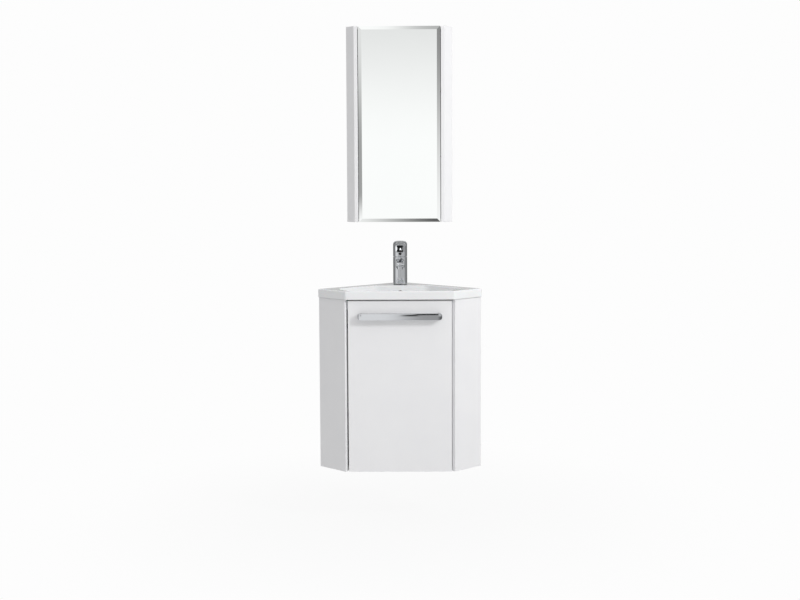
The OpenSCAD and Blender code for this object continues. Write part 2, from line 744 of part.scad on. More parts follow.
module tap_cartridge() color(brass) difference() {
    union() {
        at_tap(cartridge_z + 0.2) cylinder(r = cartridge_r, h = nut_seat_z - cartridge_z - 0.2);
        at_tap(nut_seat_z - eps) cylinder(r = 14, h = body_top_z - nut_seat_z);
    }
    at_tap(fork_z - 0.2) cylinder(r = fork_disc_r + 0.2, h = 40);
}
fork_z = body_top_z - 12;
module tap_cartridge_fork() color(zinc) difference() {
    at_tap(fork_z) cylinder(r = fork_disc_r, h = 13);
    difference() {
        at_tap(fork_z + 1.5) translate([-stem_r - 0.3, -9, 0])
            cube([2 * stem_r + 0.6, 18, 14]);
        at_tap(pivot_z) rotate([0, 90, 0]) translate([0, 0, -10])
            cylinder(r = 1.5, h = 20);
    }
}
module tap_cartridge_nut() color(chrome) difference() {
    union() {
        at_tap(nut_seat_z + 0.2) cylinder(r = dome_r - 0.5, h = body_top_z - nut_seat_z);
        intersection() {
            at_tap(pivot_z) sphere(r = dome_r, $fn = 96);
            at_tap(body_top_z) cylinder(r = dome_r, h = 16);
        }
    }
    at_tap(nut_seat_z - 1) cylinder(r = 14.2, h = body_top_z - nut_seat_z + 1);
    at_tap(nut_seat_z) cylinder(r = 13.2, h = 60);
}
module tap_stem() color(zinc) difference() {
    at_tap(pivot_z - 6) cylinder(r = stem_r, h = stem_h + 6);
    at_tap(pivot_z) rotate([0, 90, 0]) translate([0, 0, -10]) cylinder(r = 1.55, h = 20);
}
// A round head with a rounded top, and an arm that reaches forward from it.
module tap_lever() color(chrome) {
    low = tap_body_h + lever_gap;
    top = low + lever_head_h;
    round_r = 12;
    head = concat([[0, low], [tap_r, low]],
                  [for (a = [0:15:90]) [tap_r - round_r + round_r * cos(a),
                                        top - round_r + round_r * sin(a)]],
                  [[0, top]]);
    difference() {
        union() {
            at_tap(rim_z) rotate_extrude() polygon(head);
            intersection() {
                side_cut([
                    [0, low + 16], [tap_r, low + 17], [lever_reach - 8, low + 20],
                    [lever_reach, low + 23], [lever_reach, low + 47],
                    [lever_reach - 3, low + 50], [tap_r, low + 51], [0, low + 51]
                ], 2 * lever_w);
                at_tap(rim_z) linear_extrude(tap_body_h + 90) polygon(rounded([
                    [tap_r - 6, 0], [-tap_r + 6, 0],
                    [-lever_w / 2, -lever_reach], [lever_w / 2, -lever_reach]
                ], [0.1, 0.1, 10, 10], 6));
            }
        }
        side_cut([[-tap_r - 2, low - 1], [-tap_r - 2, low + 11], [0, low]], 3 * tap_r);
        at_tap(pivot_z) sphere(r = socket_r, $fn = 96);
        at_tap(pivot_z) cylinder(r = stem_r + fit, h = stem_h + 0.3);
        at_tap(indicator_z) rotate([90, 0, 0]) translate([0, 0, tap_r - 2])
            cylinder(r = indicator_r + fit, h = 4);
    }
}
// The dark cap over the screw that holds the lever on its stem.
indicator_r = 5.6;
indicator_z = lever_z + 10.5;
module tap_indicator() color(rubber) at_tap(indicator_z) rotate([90, 0, 0])
    intersection() {
        translate([0, 0, tap_r - 2]) cylinder(r = indicator_r, h = 3);
        rotate([-90, 0, 0]) translate([0, 0, -5]) cylinder(r = tap_r + 0.3, h = 10);
    }
module tap_aerator() color(chrome) at_tap(aerator_z) translate([0, -spout_reach, 0]) {
    tube(aerator_r, 8.5, 13);
    translate([0, 0, 3]) difference() {
        cylinder(r = 8.6, h = 2);
        for (x = [-6:3:6]) for (y = [-6:3:6]) if (norm([x, y]) < 7.5)
            translate([x - 0.9, y - 0.9, -1]) cube([1.8, 1.8, 4]);
    }
}
module tap_stud() color(brass) at_tap(rim_z - stud_down) translate([0, stud_y, 0])
    cylinder(r = stud_r - fit / 2, h = stud_down + stud_up);
deck_under = rim_z - deck_t;
module tap_clamp_washer() color(zinc) difference() {
    at_tap(deck_under - 3.1) cylinder(r = 25, h = 3);
    at_tap(deck_under - 5) translate([-15, -30, 0]) cube([30, 33, 8]);
    at_tap(deck_under - 5) translate([0, stud_y, 0]) cylinder(r = stud_r + fit, h = 8);
}
module tap_clamp_nut() color(brass) at_tap(deck_under - 3.1 - 6.6)
    translate([0, stud_y, 0]) difference() {
        cylinder(r = 7.5, h = 6.5, $fn = 6);
        translate([0, 0, -1]) cylinder(r = stud_r + fit / 2, h = 9);
    }
module tap_inlet_tails() color(brass) for (s = [-1, 1])
    at_tap(tail_end_z) translate([s * tail_pipe_at[0], tail_pipe_at[1], 0])
        difference() {
            union() {
                cylinder(r = tail_end_r, h = tail_end_l);
                cylinder(r = tail_pipe_r - fit, h = rim_z + 12 - tail_end_z);
            }
            translate([0, 0, -1]) cylinder(r = 3.2, h = 80);
        }

// ---------- Mirror cabinet ----------
mirror_z = rim_z + mirror_lift;
mirror_depth = (mirror_run + mirror_side_w) / r2;
mirror_half = (mirror_run - mirror_side_w) / r2;
mirror_inner_p = mirror_run - post_t;
mirror_door_half = mirror_half - post_t * r2 - mirror_gap;
mirror_boards_y = mirror_depth - door_t - door_back_gap;
glass_shelf_zs = [1, 2] * mirror_h / 3;
mirror_pin_r = 2.5;
mirror_hole_r = 3.5;
mirror_hole_p = 150;
mirror_hole_inset = 60;
mirror_hole_zs = [mirror_hole_inset, mirror_h - mirror_hole_inset];
mirror_pin_first = 90;
mirror_pin_last = 54;
mirror_pin_in = 8;
mirror_pin_out = 9;
glass_shelf_setback = 22;

module mirror_post() color(gloss_white) difference() {
    wall_block(mirror_inner_p, mirror_run, 0, mirror_depth * r2 - mirror_inner_p,
               mirror_z, mirror_h);
    translate([0, -mirror_depth - mirror_run, mirror_z - 1])
        cube([mirror_run * 2, mirror_run, mirror_h + 2]);
}
module mirror_left_post() flipped() mirror_post();
module mirror_right_post() mirror_post();

module mirror_back() color(inner_white) difference() {
    translate([0, 0, mirror_z]) linear_extrude(mirror_h) polygon([
        wall_pt(0, 0), wall_pt(mirror_inner_p, 0),
        wall_pt(mirror_inner_p, back_t), wall_pt(back_t, back_t)
    ]);
    for (z = mirror_hole_zs) rotate([0, 0, -45])
        translate([mirror_hole_p, 1, mirror_z + z]) rotate([90, 0, 0])
            cylinder(r = mirror_hole_r, h = back_t + 2);
    mirror_pin_holes();
}
module mirror_left_back() flipped() mirror_back();
module mirror_right_back() mirror_back();

mirror_pin_ps = [mirror_pin_first, mirror_inner_p - mirror_pin_last];
module mirror_pin_holes() mirror_pin_row(mirror_pin_r + fit, 1);
module mirror_pin_row(r, out)
    for (z = glass_shelf_zs) for (p = mirror_pin_ps) rotate([0, 0, -45])
        translate([p, -back_t + mirror_pin_in, mirror_z + z - mirror_pin_r])
            rotate([90, 0, 0]) cylinder(r = r, h = mirror_pin_in + out);
module mirror_shelf_pins() color(chrome) both_sides()
    mirror_pin_row(mirror_pin_r, mirror_pin_out);

module mirror_board(z) color(inner_white)
    corner_board(mirror_inner_p, back_t, mirror_boards_y, mirror_z + z, post_t);
module mirror_bottom_board() mirror_board(0);
module mirror_top_board() mirror_board(mirror_h - post_t);

module mirror_shelves() color(shelf_glass) for (z = glass_shelf_zs)
    corner_board(mirror_inner_p - shelf_clear, back_t + shelf_clear,
                 mirror_boards_y - glass_shelf_setback, mirror_z + z, glass_shelf_t);

mirror_hinge_inset = 90;
mirror_hinge_zs = [mirror_hinge_inset, mirror_h - mirror_hinge_inset];
module at_mirror_hinges() for (z = mirror_hinge_zs)
    translate([-mirror_door_half, -mirror_depth, mirror_z + z]) children();

module mirror_door_board() color(gloss_white) difference() {
    translate([-mirror_door_half, -mirror_depth + glass_t, mirror_z])
        cube([2 * mirror_door_half, door_t - glass_t, mirror_h]);
    at_mirror_hinges() cup_holes();
}
// Polished mirror glass, whose bevel runs back by bevel_fall at the edge.
bevel_fall = 2;
module mirror_glass() color(mirror_grey) hull() {
    translate([-mirror_door_half, -mirror_depth + bevel_fall, mirror_z])
        cube([2 * mirror_door_half, glass_t - bevel_fall, mirror_h]);
    translate([-mirror_door_half + bevel_w, -mirror_depth, mirror_z + bevel_w])
        cube([2 * (mirror_door_half - bevel_w), glass_t, mirror_h - 2 * bevel_w]);
}

// The back board's inner face, as seen from the hinge: y - x = back_line.
back_line = mirror_depth - mirror_door_half - back_t * r2;
back_dir = [1, 1] / r2;
back_in = [1, -1] / r2;
mirror_knee_in = 14;
back_seat = arm_pivot - back_in * ((back_line + arm_pivot[0] - arm_pivot[1]) / r2);

module mirror_hinge_cups() color(zinc) at_mirror_hinges() hinge_cup();
module mirror_hinge_cup_pins() color(chrome) at_mirror_hinges() cup_pin();
module mirror_hinge_links() color(zinc) at_mirror_hinges() hinge_link();
module mirror_hinge_arm_pins() color(chrome) at_mirror_hinges() arm_pin();
module mirror_hinge_arms() color(zinc) at_mirror_hinges()
    hinge_arm(arm_pivot - back_in * mirror_knee_in, back_seat + back_in * plate_t);
module mirror_hinge_plates() color(zinc) at_mirror_hinges()
    bar(back_seat - back_dir * plate_l / 2 + back_in * plate_t / 2,
        back_seat + back_dir * plate_l / 2 + back_in * plate_t / 2, plate_t, plate_h);

left_side_panel();
right_side_panel();
left_back_panel();
right_back_panel();
bottom_panel();
hanging_rails();
front_rail();
shelf();
shelf_pins();
door_bumpers();
door_panel();
door_handle();
handle_screws();
hinge_cups();
hinge_cup_pins();
hinge_cup_screws();
hinge_links();
hinge_arms();
hinge_arm_pins();
hinge_plates();
basin();
overflow_ring();
waste_body();
waste_seals();
waste_backnut();
waste_plug();
trap_tailpiece();
trap_nuts();
trap_bottle();
trap_cup();
trap_outlet_pipe();
tap_body();
tap_base_seal();
tap_cartridge();
tap_cartridge_nut();
tap_cartridge_fork();
tap_stem();
tap_lever();
tap_indicator();
tap_aerator();
tap_stud();
tap_clamp_washer();
tap_clamp_nut();
tap_inlet_tails();
mirror_left_post();
mirror_right_post();
mirror_left_back();
mirror_right_back();
mirror_top_board();
mirror_bottom_board();
mirror_shelves();
mirror_shelf_pins();
mirror_door_board();
mirror_glass();
mirror_hinge_cups();
mirror_hinge_cup_pins();
mirror_hinge_links();
mirror_hinge_arms();
mirror_hinge_arm_pins();
mirror_hinge_plates();
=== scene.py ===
"""Corner vanity unit with basin, mixer tap and mirror cabinet.

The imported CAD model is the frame. The basin, handle, tap and lever are new surfaces worked out
with numpy, the boards and fittings are CAD solids with their edges rounded, and every piece gets
the finish of the real material. Lengths are in millimetres until a mesh is made.
"""

import json
import math

import bmesh
import bpy
import numpy as np
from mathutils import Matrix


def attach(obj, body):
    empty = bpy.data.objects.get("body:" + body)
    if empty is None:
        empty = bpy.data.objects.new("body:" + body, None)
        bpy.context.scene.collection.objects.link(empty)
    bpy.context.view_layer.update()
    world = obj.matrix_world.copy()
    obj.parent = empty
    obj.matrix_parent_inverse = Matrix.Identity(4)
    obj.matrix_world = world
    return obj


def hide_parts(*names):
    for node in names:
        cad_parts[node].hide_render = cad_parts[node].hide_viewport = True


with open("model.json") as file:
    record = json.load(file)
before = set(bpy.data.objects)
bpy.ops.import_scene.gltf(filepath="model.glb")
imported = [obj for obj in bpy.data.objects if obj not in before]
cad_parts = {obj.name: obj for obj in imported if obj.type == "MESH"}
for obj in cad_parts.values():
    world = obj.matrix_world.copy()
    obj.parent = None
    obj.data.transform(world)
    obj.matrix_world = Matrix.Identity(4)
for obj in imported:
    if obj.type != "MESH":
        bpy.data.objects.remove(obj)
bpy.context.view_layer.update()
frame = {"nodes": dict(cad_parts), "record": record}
record = frame["record"]
BODY = {node: body for body, nodes in record["behaviour"]["bodies"].items() for node in nodes}
SLOT = {part["node"]: part["material_slot"] for part in record["subparts"]}
scene = bpy.context.scene
scene.view_settings.view_transform = "Standard"
MM = 0.001
ROOT2 = math.sqrt(2)

# ---------- Sizes in millimetres, from the construction ----------
WALL_RUN, SIDE_W, CAB_H = 422.0, 139.5, 631.0
CAB_DEPTH = (WALL_RUN + SIDE_W) / ROOT2
FRONT_HALF = (WALL_RUN - SIDE_W) / ROOT2
LAND_W, DOOR_GAP = 7.0, 4.5
RIM_Z = CAB_H + 32.0
OVERHANG, FRONT_OVERHANG = 5.5, 11.0
BASIN_RUN, BASIN_DEPTH = WALL_RUN + OVERHANG, CAB_DEPTH + FRONT_OVERHANG
RIM_W, WALL_DECK, DECK_T = 35.0, 45.0, 12.0
BOWL_DEPTH, BOWL_WALL, BOWL_BACK = 118.0, 9.0, 165.0
DRAIN_Y, DRAIN_R, TAP_HOLE_R = 270.0, 22.5, 17.5
OVERFLOW_DROP, OVERFLOW_R = 32.0, 11.0
TAP_Y, TAP_R, TAP_BODY_H, TAP_SEAL_T = 100.0, 26.7, 105.0, 1.5
HANDLE_OUT, HANDLE_T, HANDLE_H, HANDLE_LEG, HANDLE_DROP = 30.0, 8.0, 25.0, 16.0, 55.0
HANDLE_Z = CAB_H - DOOR_GAP - HANDLE_DROP
# The handle is drawn 2 mm longer at each end than its solid.
HANDLE_MARGIN = 34.7
HANDLE_L = 2 * (FRONT_HALF - LAND_W - DOOR_GAP - HANDLE_MARGIN)
# The lever is drawn 1.2 mm over the tap's body, and its solid is 2 mm over it.
LEVER_GAP, LEVER_TOP = 1.2, 60.0
# The basin's lower outer edge and the door's upper edge are drawn higher than their solids.
FOOT_LIFT = 1.0
# The right side panel is drawn nearer to the door's free edge, which needs less room than the
# hinged one.
PANEL_NEARER = 2.7
# A side panel's points that lie nearer to the middle than this are on its inner face.
PANEL_INNER_X = FRONT_HALF - LAND_W + 0.5
FLOOR_Z = -200.0


# ---------- Making meshes ----------
def keep(name, mesh):
    """The mesh as an object in the scene, at the origin."""
    thing = bpy.data.objects.new(name, mesh)
    scene.collection.objects.link(thing)
    return thing


def surface(name, grid, ring=True, tube=False):
    """A mesh through a grid of points [row][column][x, y, z] in millimetres. Quads join each
    point to its neighbours; ring joins the last column to the first, tube the last row to the
    first. Rows that shrink to a point are merged into it, and the faces are turned outwards."""
    rows, columns = grid.shape[:2]
    r = np.arange(rows if tube else rows - 1)[:, None]
    c = np.arange(columns if ring else columns - 1)[None, :]
    r2, c2 = (r + 1) % rows, (c + 1) % columns
    faces = np.stack([r * columns + c, r * columns + c2, r2 * columns + c2, r2 * columns + c],
                     -1).reshape(-1, 4)
    mesh = bpy.data.meshes.new(name)
    mesh.from_pydata((grid.reshape(-1, 3) * MM).tolist(), [], faces.tolist())
    tidy(mesh)
    return keep(name, mesh)


def tidy(mesh, whole=0.0):
    """Merges doubles, makes flat faces whole again where whole degrees allow it, turns the faces
    outwards and shades them smooth."""
    work = bmesh.new()
    work.from_mesh(mesh)
    bmesh.ops.remove_doubles(work, verts=work.verts, dist=2e-6)
    bmesh.ops.dissolve_degenerate(work, dist=1e-7, edges=work.edges)
    if whole:
        bmesh.ops.dissolve_limit(work, angle_limit=math.radians(whole), verts=work.verts,
                                 edges=work.edges)
    bmesh.ops.recalc_face_normals(work, faces=work.faces)
    for face in work.faces:
        face.smooth = True
    work.to_mesh(mesh)
    work.free()


def capped(grid):
    """The grid with one more row at each end, drawn together at that end's middle."""
    first, last = (np.broadcast_to(row.mean(0), row.shape)[None] for row in (grid[0], grid[-1]))
    return np.concatenate([first, grid, last])


def applied(thing):
    """Makes the object's modifiers part of its mesh."""
    depsgraph = bpy.context.evaluated_depsgraph_get()
    mesh = bpy.data.meshes.new_from_object(thing.evaluated_get(depsgraph))
    thing.modifiers.clear()
    thing.data = mesh


def eased(node, radius):
    """A CAD node's solid with its hard edges rounded: its triangles are merged into whole faces,
    then every edge sharper than 32 degrees gets an arc of the radius, in millimetres."""
    source = frame["nodes"][node].data
    points = np.empty(len(source.vertices) * 3, np.float32)
    source.vertices.foreach_get("co", points)
    loops = np.empty(len(source.loops), np.int32)
    source.loops.foreach_get("vertex_index", loops)
    mesh = bpy.data.meshes.new(node)
    mesh.from_pydata(points.reshape(-1, 3).tolist(), [], loops.reshape(-1, 3).tolist())
    tidy(mesh, whole=0.4)
    thing = keep(node + "_eased", mesh)
    bevel = thing.modifiers.new("rounded edges", "BEVEL")
    bevel.width, bevel.segments = radius * MM, 3
    bevel.limit_method, bevel.angle_limit = "ANGLE", math.radians(32)
    bevel.miter_outer = "MITER_ARC"
    level_normals(thing)
    return thing


def reshaped(node, change, *values):
    """Moves the points of an eased solid: change is given them as rows of x, y, z in metres,
    and gives their new places back."""
    mesh = bpy.data.objects[node + "_eased"].data
    points = np.empty(len(mesh.vertices) * 3, np.float32)
    mesh.vertices.foreach_get("co", points)
    places = change(points.reshape(-1, 3).astype(float), *values)
    mesh.vertices.foreach_set("co", places.astype(np.float32).ravel())
    mesh.update()


def raised_top(points):
    """The door's upper edge follows the basin's lower edge, which is drawn higher: whatever
    lies in the uppermost 5 mm of the cabinet goes up by the same amount."""
    points[points[:, 2] > (CAB_H - 5) * MM, 2] += FOOT_LIFT * MM
    return points


def square_cut(points, nearer):
    """A side panel's front edge cut square to its face, so that it looks towards the door: the
    inner face moves towards the middle by nearer, and its front end moves back by the width of
    the land that was there and by nearer."""
    inner = np.abs(points[:, 0]) < PANEL_INNER_X * MM
    front = inner & (points[:, 1] < (1 - CAB_DEPTH) * MM)
    points[inner, 0] -= nearer * MM
    points[front, 1] += (LAND_W + nearer) * MM
    return points


def level_normals(thing):
    """Large faces set the shading at their edges, so flat faces look flat."""
    weighted = thing.modifiers.new("face weights", "WEIGHTED_NORMAL")
    weighted.weight, weighted.keep_sharp = 50, True


def fitted(thing, node):
    """The piece stands in for this CAD node, which is hidden: it rides on the node's body and takes
    the finish of the node's slot.
    """
    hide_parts(node)
    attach(thing, BODY[node])
    thing.data.materials.clear()
    thing.data.materials.append(FINISH[SLOT[node]])


# ---------- Plan curves ----------
def rounded(corners, radii, steps=6):
    """The closed outline through these corners, each cut by the arc of its radius that touches
    both edges: the arc's middle lies on the bisector, radius / sin(half angle) from the corner."""
    b = np.asarray(corners, float)
    radii = np.asarray(radii, float)
    u, v = np.roll(b, 1, 0) - b, np.roll(b, -1, 0) - b
    u /= np.linalg.norm(u, axis=1, keepdims=True)
    v /= np.linalg.norm(v, axis=1, keepdims=True)
    half = np.arccos(np.clip((u * v).sum(1), -1, 1)) / 2
    w = (u + v) / np.linalg.norm(u + v, axis=1, keepdims=True)
    middle = b + w * (radii / np.sin(half))[:, None]
    start = b + u * (radii / np.tan(half))[:, None] - middle
    end = b + v * (radii / np.tan(half))[:, None] - middle
    turn = np.arctan2(start[:, 0] * end[:, 1] - start[:, 1] * end[:, 0], (start * end).sum(1))
    angle = np.arctan2(start[:, 1], start[:, 0])[:, None] + turn[:, None] * np.linspace(0, 1, steps)
    arc = np.stack([np.cos(angle), np.sin(angle)], -1) * radii[:, None, None]
    return (middle[:, None] + arc).reshape(-1, 2)


def filled(outline, gap):
    """The outline with more points on its long edges, so that none is longer than gap."""
    ahead = np.roll(outline, -1, 0)
    counts = np.maximum(1, np.ceil(np.linalg.norm(ahead - outline, axis=1) / gap)).astype(int)
    index = np.repeat(np.arange(len(outline)), counts)
    step = np.arange(counts.sum()) - np.repeat(np.cumsum(counts) - counts, counts)
    return outline[index] + (ahead - outline)[index] * (step / counts[index])[:, None]


def wall_point(p, q):
    """The plan point at distance p along the right wall from the corner and q off that wall."""
    return [(p - q) / ROOT2, -(p + q) / ROOT2]


def symmetric(points):
    """The points and their mirror images on the left, in order round the outline."""
    return points + [[-x, y] for x, y in reversed(points) if abs(x) > 1e-9]


def basin_corners(s):
    """The basin's plan, drawn in by s on every side, and the radii of its corners."""
    run, depth = BASIN_RUN - s, BASIN_DEPTH - s
    front = run * ROOT2 - depth
    points = symmetric([wall_point(s, s), wall_point(run, s), [front, -depth]])
    a, b, c = (max(0.6, r - s) for r in (5, 5, 8))
    return points, [a, b, c, c, b]


def bowl_corners(s, b):
    """The bowl's plan, drawn in by s, with its back edge drawn in by b, and its fillets."""
    y, p, q, back = BASIN_DEPTH - RIM_W - s, BASIN_RUN - RIM_W - s, WALL_DECK + s, BOWL_BACK + b
    points = symmetric([[back - q * ROOT2, -back], wall_point(p, q), [p * ROOT2 - y, -y]])
    return points, [48, 60, 46, 46, 60, 48]


def reach(corners_and_radii, angles):
    """How far the outline lies from the drain's axis in each direction, read off a dense copy."""
    outline = filled(rounded(*corners_and_radii, steps=12), 1.0) - [0, -DRAIN_Y]
    angle = np.arctan2(outline[:, 1], outline[:, 0])
    order = np.argsort(angle)
    return np.interp(angles, angle[order], np.hypot(*outline.T)[order], period=2 * math.pi)


def b_spline(controls, count):
    """Points on the clamped cubic B-spline of these control rows, by de Boor's recursion
    written as a matrix of weights."""
    n, degree = len(controls), 3
    knots = np.concatenate([np.zeros(degree), np.linspace(0, 1, n - degree + 1), np.ones(degree)])
    t = np.linspace(0, 1, count)[:, None]
    weights = ((knots[:-1] <= t) & (t < knots[1:])).astype(float)
    weights[-1, n - 1] = 1
    for d in range(1, degree + 1):
        size = weights.shape[1] - 1
        low = np.where(knots[d:d + size] > knots[:size], knots[d:d + size] - knots[:size], 1)
        high = np.where(knots[d + 1:d + 1 + size] > knots[1:1 + size],
                        knots[d + 1:d + 1 + size] - knots[1:1 + size], 1)
        weights = ((t - knots[:size]) / low * weights[:, :-1]
                   + (knots[d + 1:d + 1 + size] - t) / high * weights[:, 1:])
    return np.tensordot(weights, controls, 1)


# ---------- Basin ----------
def basin():
    """One closed shell round the drain. Every ring is a plan curve given as a distance from the
    drain's axis for each direction, with a height. The rings run from the drain hole up the bowl
    (a cubic B-spline through drawn-in copies of the rim, ending in circles round the drain), over
    the rounded rim and the flat deck, round the outer edge, down the face, and back underneath.
    In front, the deck falls towards the bowl by 1.7 mm, so that water runs in."""
    lip, edge_r, foot_r, deck_fall = 5.0, 4.6, 1.2, 1.7
    wall_share, wall_in, rim_round = 0.34, 7, 3
    plan = filled(rounded(*basin_corners(0), steps=9), 9.0) - [0, -DRAIN_Y]
    angles = np.arctan2(plan[:, 1], plan[:, 0])
    around = np.ones_like(angles)

    def ring(corners_and_radii, height):
        """A plan curve round the drain, at one height."""
        return np.stack([reach(corners_and_radii, angles), around * height])

    def circle(radius, height):
        """A circle round the drain, at one height."""
        return np.stack([around * radius, around * height])

    def bowl(wall):
        """The bowl's meridian from the rim to the drain, on its inner face or wall below it."""
        drop = np.array([5, 16, 27, wall_share * BOWL_DEPTH, 0.64 * BOWL_DEPTH,
                         0.83 * BOWL_DEPTH, 0.95 * BOWL_DEPTH])
        side = np.array([0, 4, 8, 12, 26, 44, 74])
        back = np.array([0, 2.2, 4.4, wall_in, 14, 27, 46])
        rings = [ring(bowl_corners(s - wall, b - wall), RIM_Z - d - (0.3 * wall if d > 9 else 0))
                 for d, s, b in zip(drop, side, back)]
        low = RIM_Z - BOWL_DEPTH - wall
        rings += [circle(r + wall, low + lift) for r, lift in ((62, 1.6), (46, 0.3), (34, 0))]
        rings += [circle(DRAIN_R, low)]
        return b_spline(np.array(rings), 46)

    inner, outer = bowl(0.0), bowl(BOWL_WALL)
    turn = np.linspace(0, math.pi / 2, 7)[1:]
    wider = [-lip * (1 - math.cos(a)) * 0.9 for a in turn]
    rim = np.array([ring(bowl_corners(w, w), RIM_Z - lip + lip * math.sin(a))
                    for a, w in zip(turn, wider)])
    edge = np.array([ring(basin_corners(edge_r * (1 - math.sin(a))),
                          RIM_Z - edge_r * (1 - math.cos(a)))
                     for a in np.linspace(0, math.pi / 2, 8)])
    ahead = np.clip((-np.sin(angles) - 0.2) / 0.35, 0, 1)
    fall = deck_fall * ahead ** 2 * (3 - 2 * ahead)
    rim[:, 1] -= fall
    inner[:, 1] -= fall * np.exp((inner[:, 1] - RIM_Z) / 20)
    share = np.array([0.02, 0.35, 0.68, 0.98])[:, None, None]
    deck = rim[-1] * (1 - share) + edge[0] * share
    foot = np.array([ring(basin_corners(foot_r * (1 - math.cos(a))),
                          CAB_H + FOOT_LIFT + foot_r * (1 - math.sin(a)))
                     for a in np.linspace(0, math.pi / 2, 7)])
    skirt = np.array([ring(basin_corners(DECK_T), z)
                      for z in (CAB_H, CAB_H + 0.5, RIM_Z - DECK_T - 3, RIM_Z - DECK_T)])
    under = skirt[-1] * (1 - share) + outer[0] * share
    under[:, 1] = RIM_Z - DECK_T
    outer[:, 1] = np.minimum(outer[:, 1], RIM_Z - DECK_T)
    rings = np.concatenate([inner[::-1], rim, deck, edge, foot, skirt, under, outer])
    grid = np.stack([rings[:, 0] * np.cos(angles), rings[:, 0] * np.sin(angles) - DRAIN_Y,
                     rings[:, 1]], -1)
    shell = surface("basin_shell", grid, tube=True)
    lean = math.atan(wall_in / (wall_share * BOWL_DEPTH - rim_round))
    spot = (0, -(BOWL_BACK + (OVERFLOW_DROP - rim_round) * math.tan(lean)),
            RIM_Z - OVERFLOW_DROP)
    for cutter in (drill((0, -TAP_Y, RIM_Z - 20), (0, 0, 1), TAP_HOLE_R, 30),
                   drill(spot, (0, math.cos(lean), math.sin(-lean)), OVERFLOW_R, 18, back=12)):
        cut = shell.modifiers.new("hole", "BOOLEAN")
        cut.object, cut.operation, cut.solver = cutter, "DIFFERENCE", "EXACT"
        applied(shell)
        bpy.data.objects.remove(cutter)
    tidy(shell.data)
    level_normals(shell)
    return shell


def drill(at, axis, radius, length, back=0.0):
    """A closed cylinder: circles of the radius square to the axis, from back before the point
    to length past it."""
    z = np.array(axis, float) / np.linalg.norm(axis)
    x = np.cross(z, [1.0, 0.2, 0.3])
    x /= np.linalg.norm(x)
    a = np.linspace(0, 2 * math.pi, 64, endpoint=False)[None, :, None]
    circle = (x * np.cos(a) + np.cross(z, x) * np.sin(a)) * radius
    along = np.array([-back, length])[:, None, None] * z
    return surface("drill", capped(np.array(at) + circle + along))


def overflow_channel():
    """The cast duct behind the overflow: a superellipse in plan, carried down and drawn in at
    its lower end by a quarter circle."""
    half_w, half_d, middle_y, below_hole, end_h = 17, 11.2, -155.5, 17.5, 4.5
    a = np.linspace(0, 2 * math.pi, 72, endpoint=False)
    plan = np.stack([half_w * np.sign(np.cos(a)) * np.abs(np.cos(a)) ** 0.4,
                     half_d * np.sign(np.sin(a)) * np.abs(np.sin(a)) ** 0.4], -1)
    bend = np.linspace(0, math.pi / 2, 7)
    size = np.concatenate([[1.0, 1.0], np.cos(bend[1:]) * 0.3 + 0.7])
    low = RIM_Z - OVERFLOW_DROP - below_hole
    z = np.concatenate([[RIM_Z - DECK_T, low], low - end_h * np.sin(bend[1:])])
    grid = np.concatenate([plan[None] * size[:, None, None] + [0, middle_y],
                           np.broadcast_to(z[:, None, None], (len(z), len(a), 1))], -1)
    channel = surface("overflow_channel", capped(grid))
    level_normals(channel)
    return channel


# ---------- Handle ----------
def handle():
    """A flat bow of bar, drawn as a section carried along its outer line in plan: up one leg,
    round a 14 mm shoulder, along the front and down the other leg. Across the section, a runs
    from the outer face to the inner face and b from the lower to the upper edge, on a rounded
    square. The height closes in round the ends, on an arc that ends 1 mm from the middle line,
    and the front is crowned: its edges lie 0.165 mm behind its middle line."""
    half, out, r, crown_h = HANDLE_L / 2, HANDLE_OUT, 14.0, 0.165
    end_r = HANDLE_H / 2 - 1
    bend = np.linspace(0, math.pi / 2, 15)
    right = np.concatenate([
        np.stack([np.full(5, half), -np.linspace(0, out - r - 0.6, 5)], -1),
        np.stack([half - r + r * np.cos(bend), -(out - r) - r * np.sin(bend)], -1)])
    normal = np.concatenate([np.tile([-1.0, 0.0], (5, 1)),
                             np.stack([-np.cos(bend), np.sin(bend)], -1)])
    thick = np.concatenate([np.full(5, HANDLE_LEG),
                            HANDLE_LEG + (HANDLE_T - HANDLE_LEG) * (1 - np.cos(2 * bend)) / 2])
    flat = np.linspace(half - r - 0.6, -(half - r - 0.6), 33)
    line = np.concatenate([right, np.stack([flat, np.full(33, -out)], -1), right[::-1] * [-1, 1]])
    inward = np.concatenate([normal, np.tile([0.0, 1.0], (33, 1)), normal[::-1] * [-1, 1]])
    depth = np.concatenate([thick, np.full(33, HANDLE_T), thick[::-1]])
    section = filled(rounded([[0, -1], [1, -1], [1, 1], [0, 1]], [0.10] * 4, steps=6), 0.16)
    a, b = section[:, 0], section[:, 1]
    inset = (a * depth[:, None])[..., None]
    plan = line[:, None] + inward[:, None] * inset
    side = np.abs(plan[..., 0]) - (half - end_r)
    tall = 1 + np.sqrt(np.maximum(0, end_r ** 2 - np.maximum(0, side) ** 2))
    crown = crown_h * (b ** 2) * np.maximum(0, 1 - 3 * a)
    plan = plan + inward[:, None] * crown[None, :, None]
    grid = np.concatenate([plan, (b * tall)[..., None]], -1) + [0, -CAB_DEPTH, HANDLE_Z]
    bow = surface("handle_bow", capped(grid))
    level_normals(bow)
    return bow


# ---------- Tap ----------
def turned(name, outline, radii, z0, lift=None):
    """A body turned about the tap's axis: its outline in radius and height has its corners
    rounded, and each point of it makes a circle. lift changes the points before they are used."""
    profile = filled(rounded(outline, radii, steps=7), 9.0)
    a = np.linspace(0, 2 * math.pi, 96, endpoint=False)
    radius, z = np.maximum(profile[:, :1], 0), profile[:, 1:]
    grid = np.stack([radius * np.cos(a), radius * np.sin(a), np.broadcast_to(z, (len(z), len(a)))],
                    -1)
    if lift:
        grid = lift(grid)
    return surface(name, grid + [0, -TAP_Y, z0], tube=True)


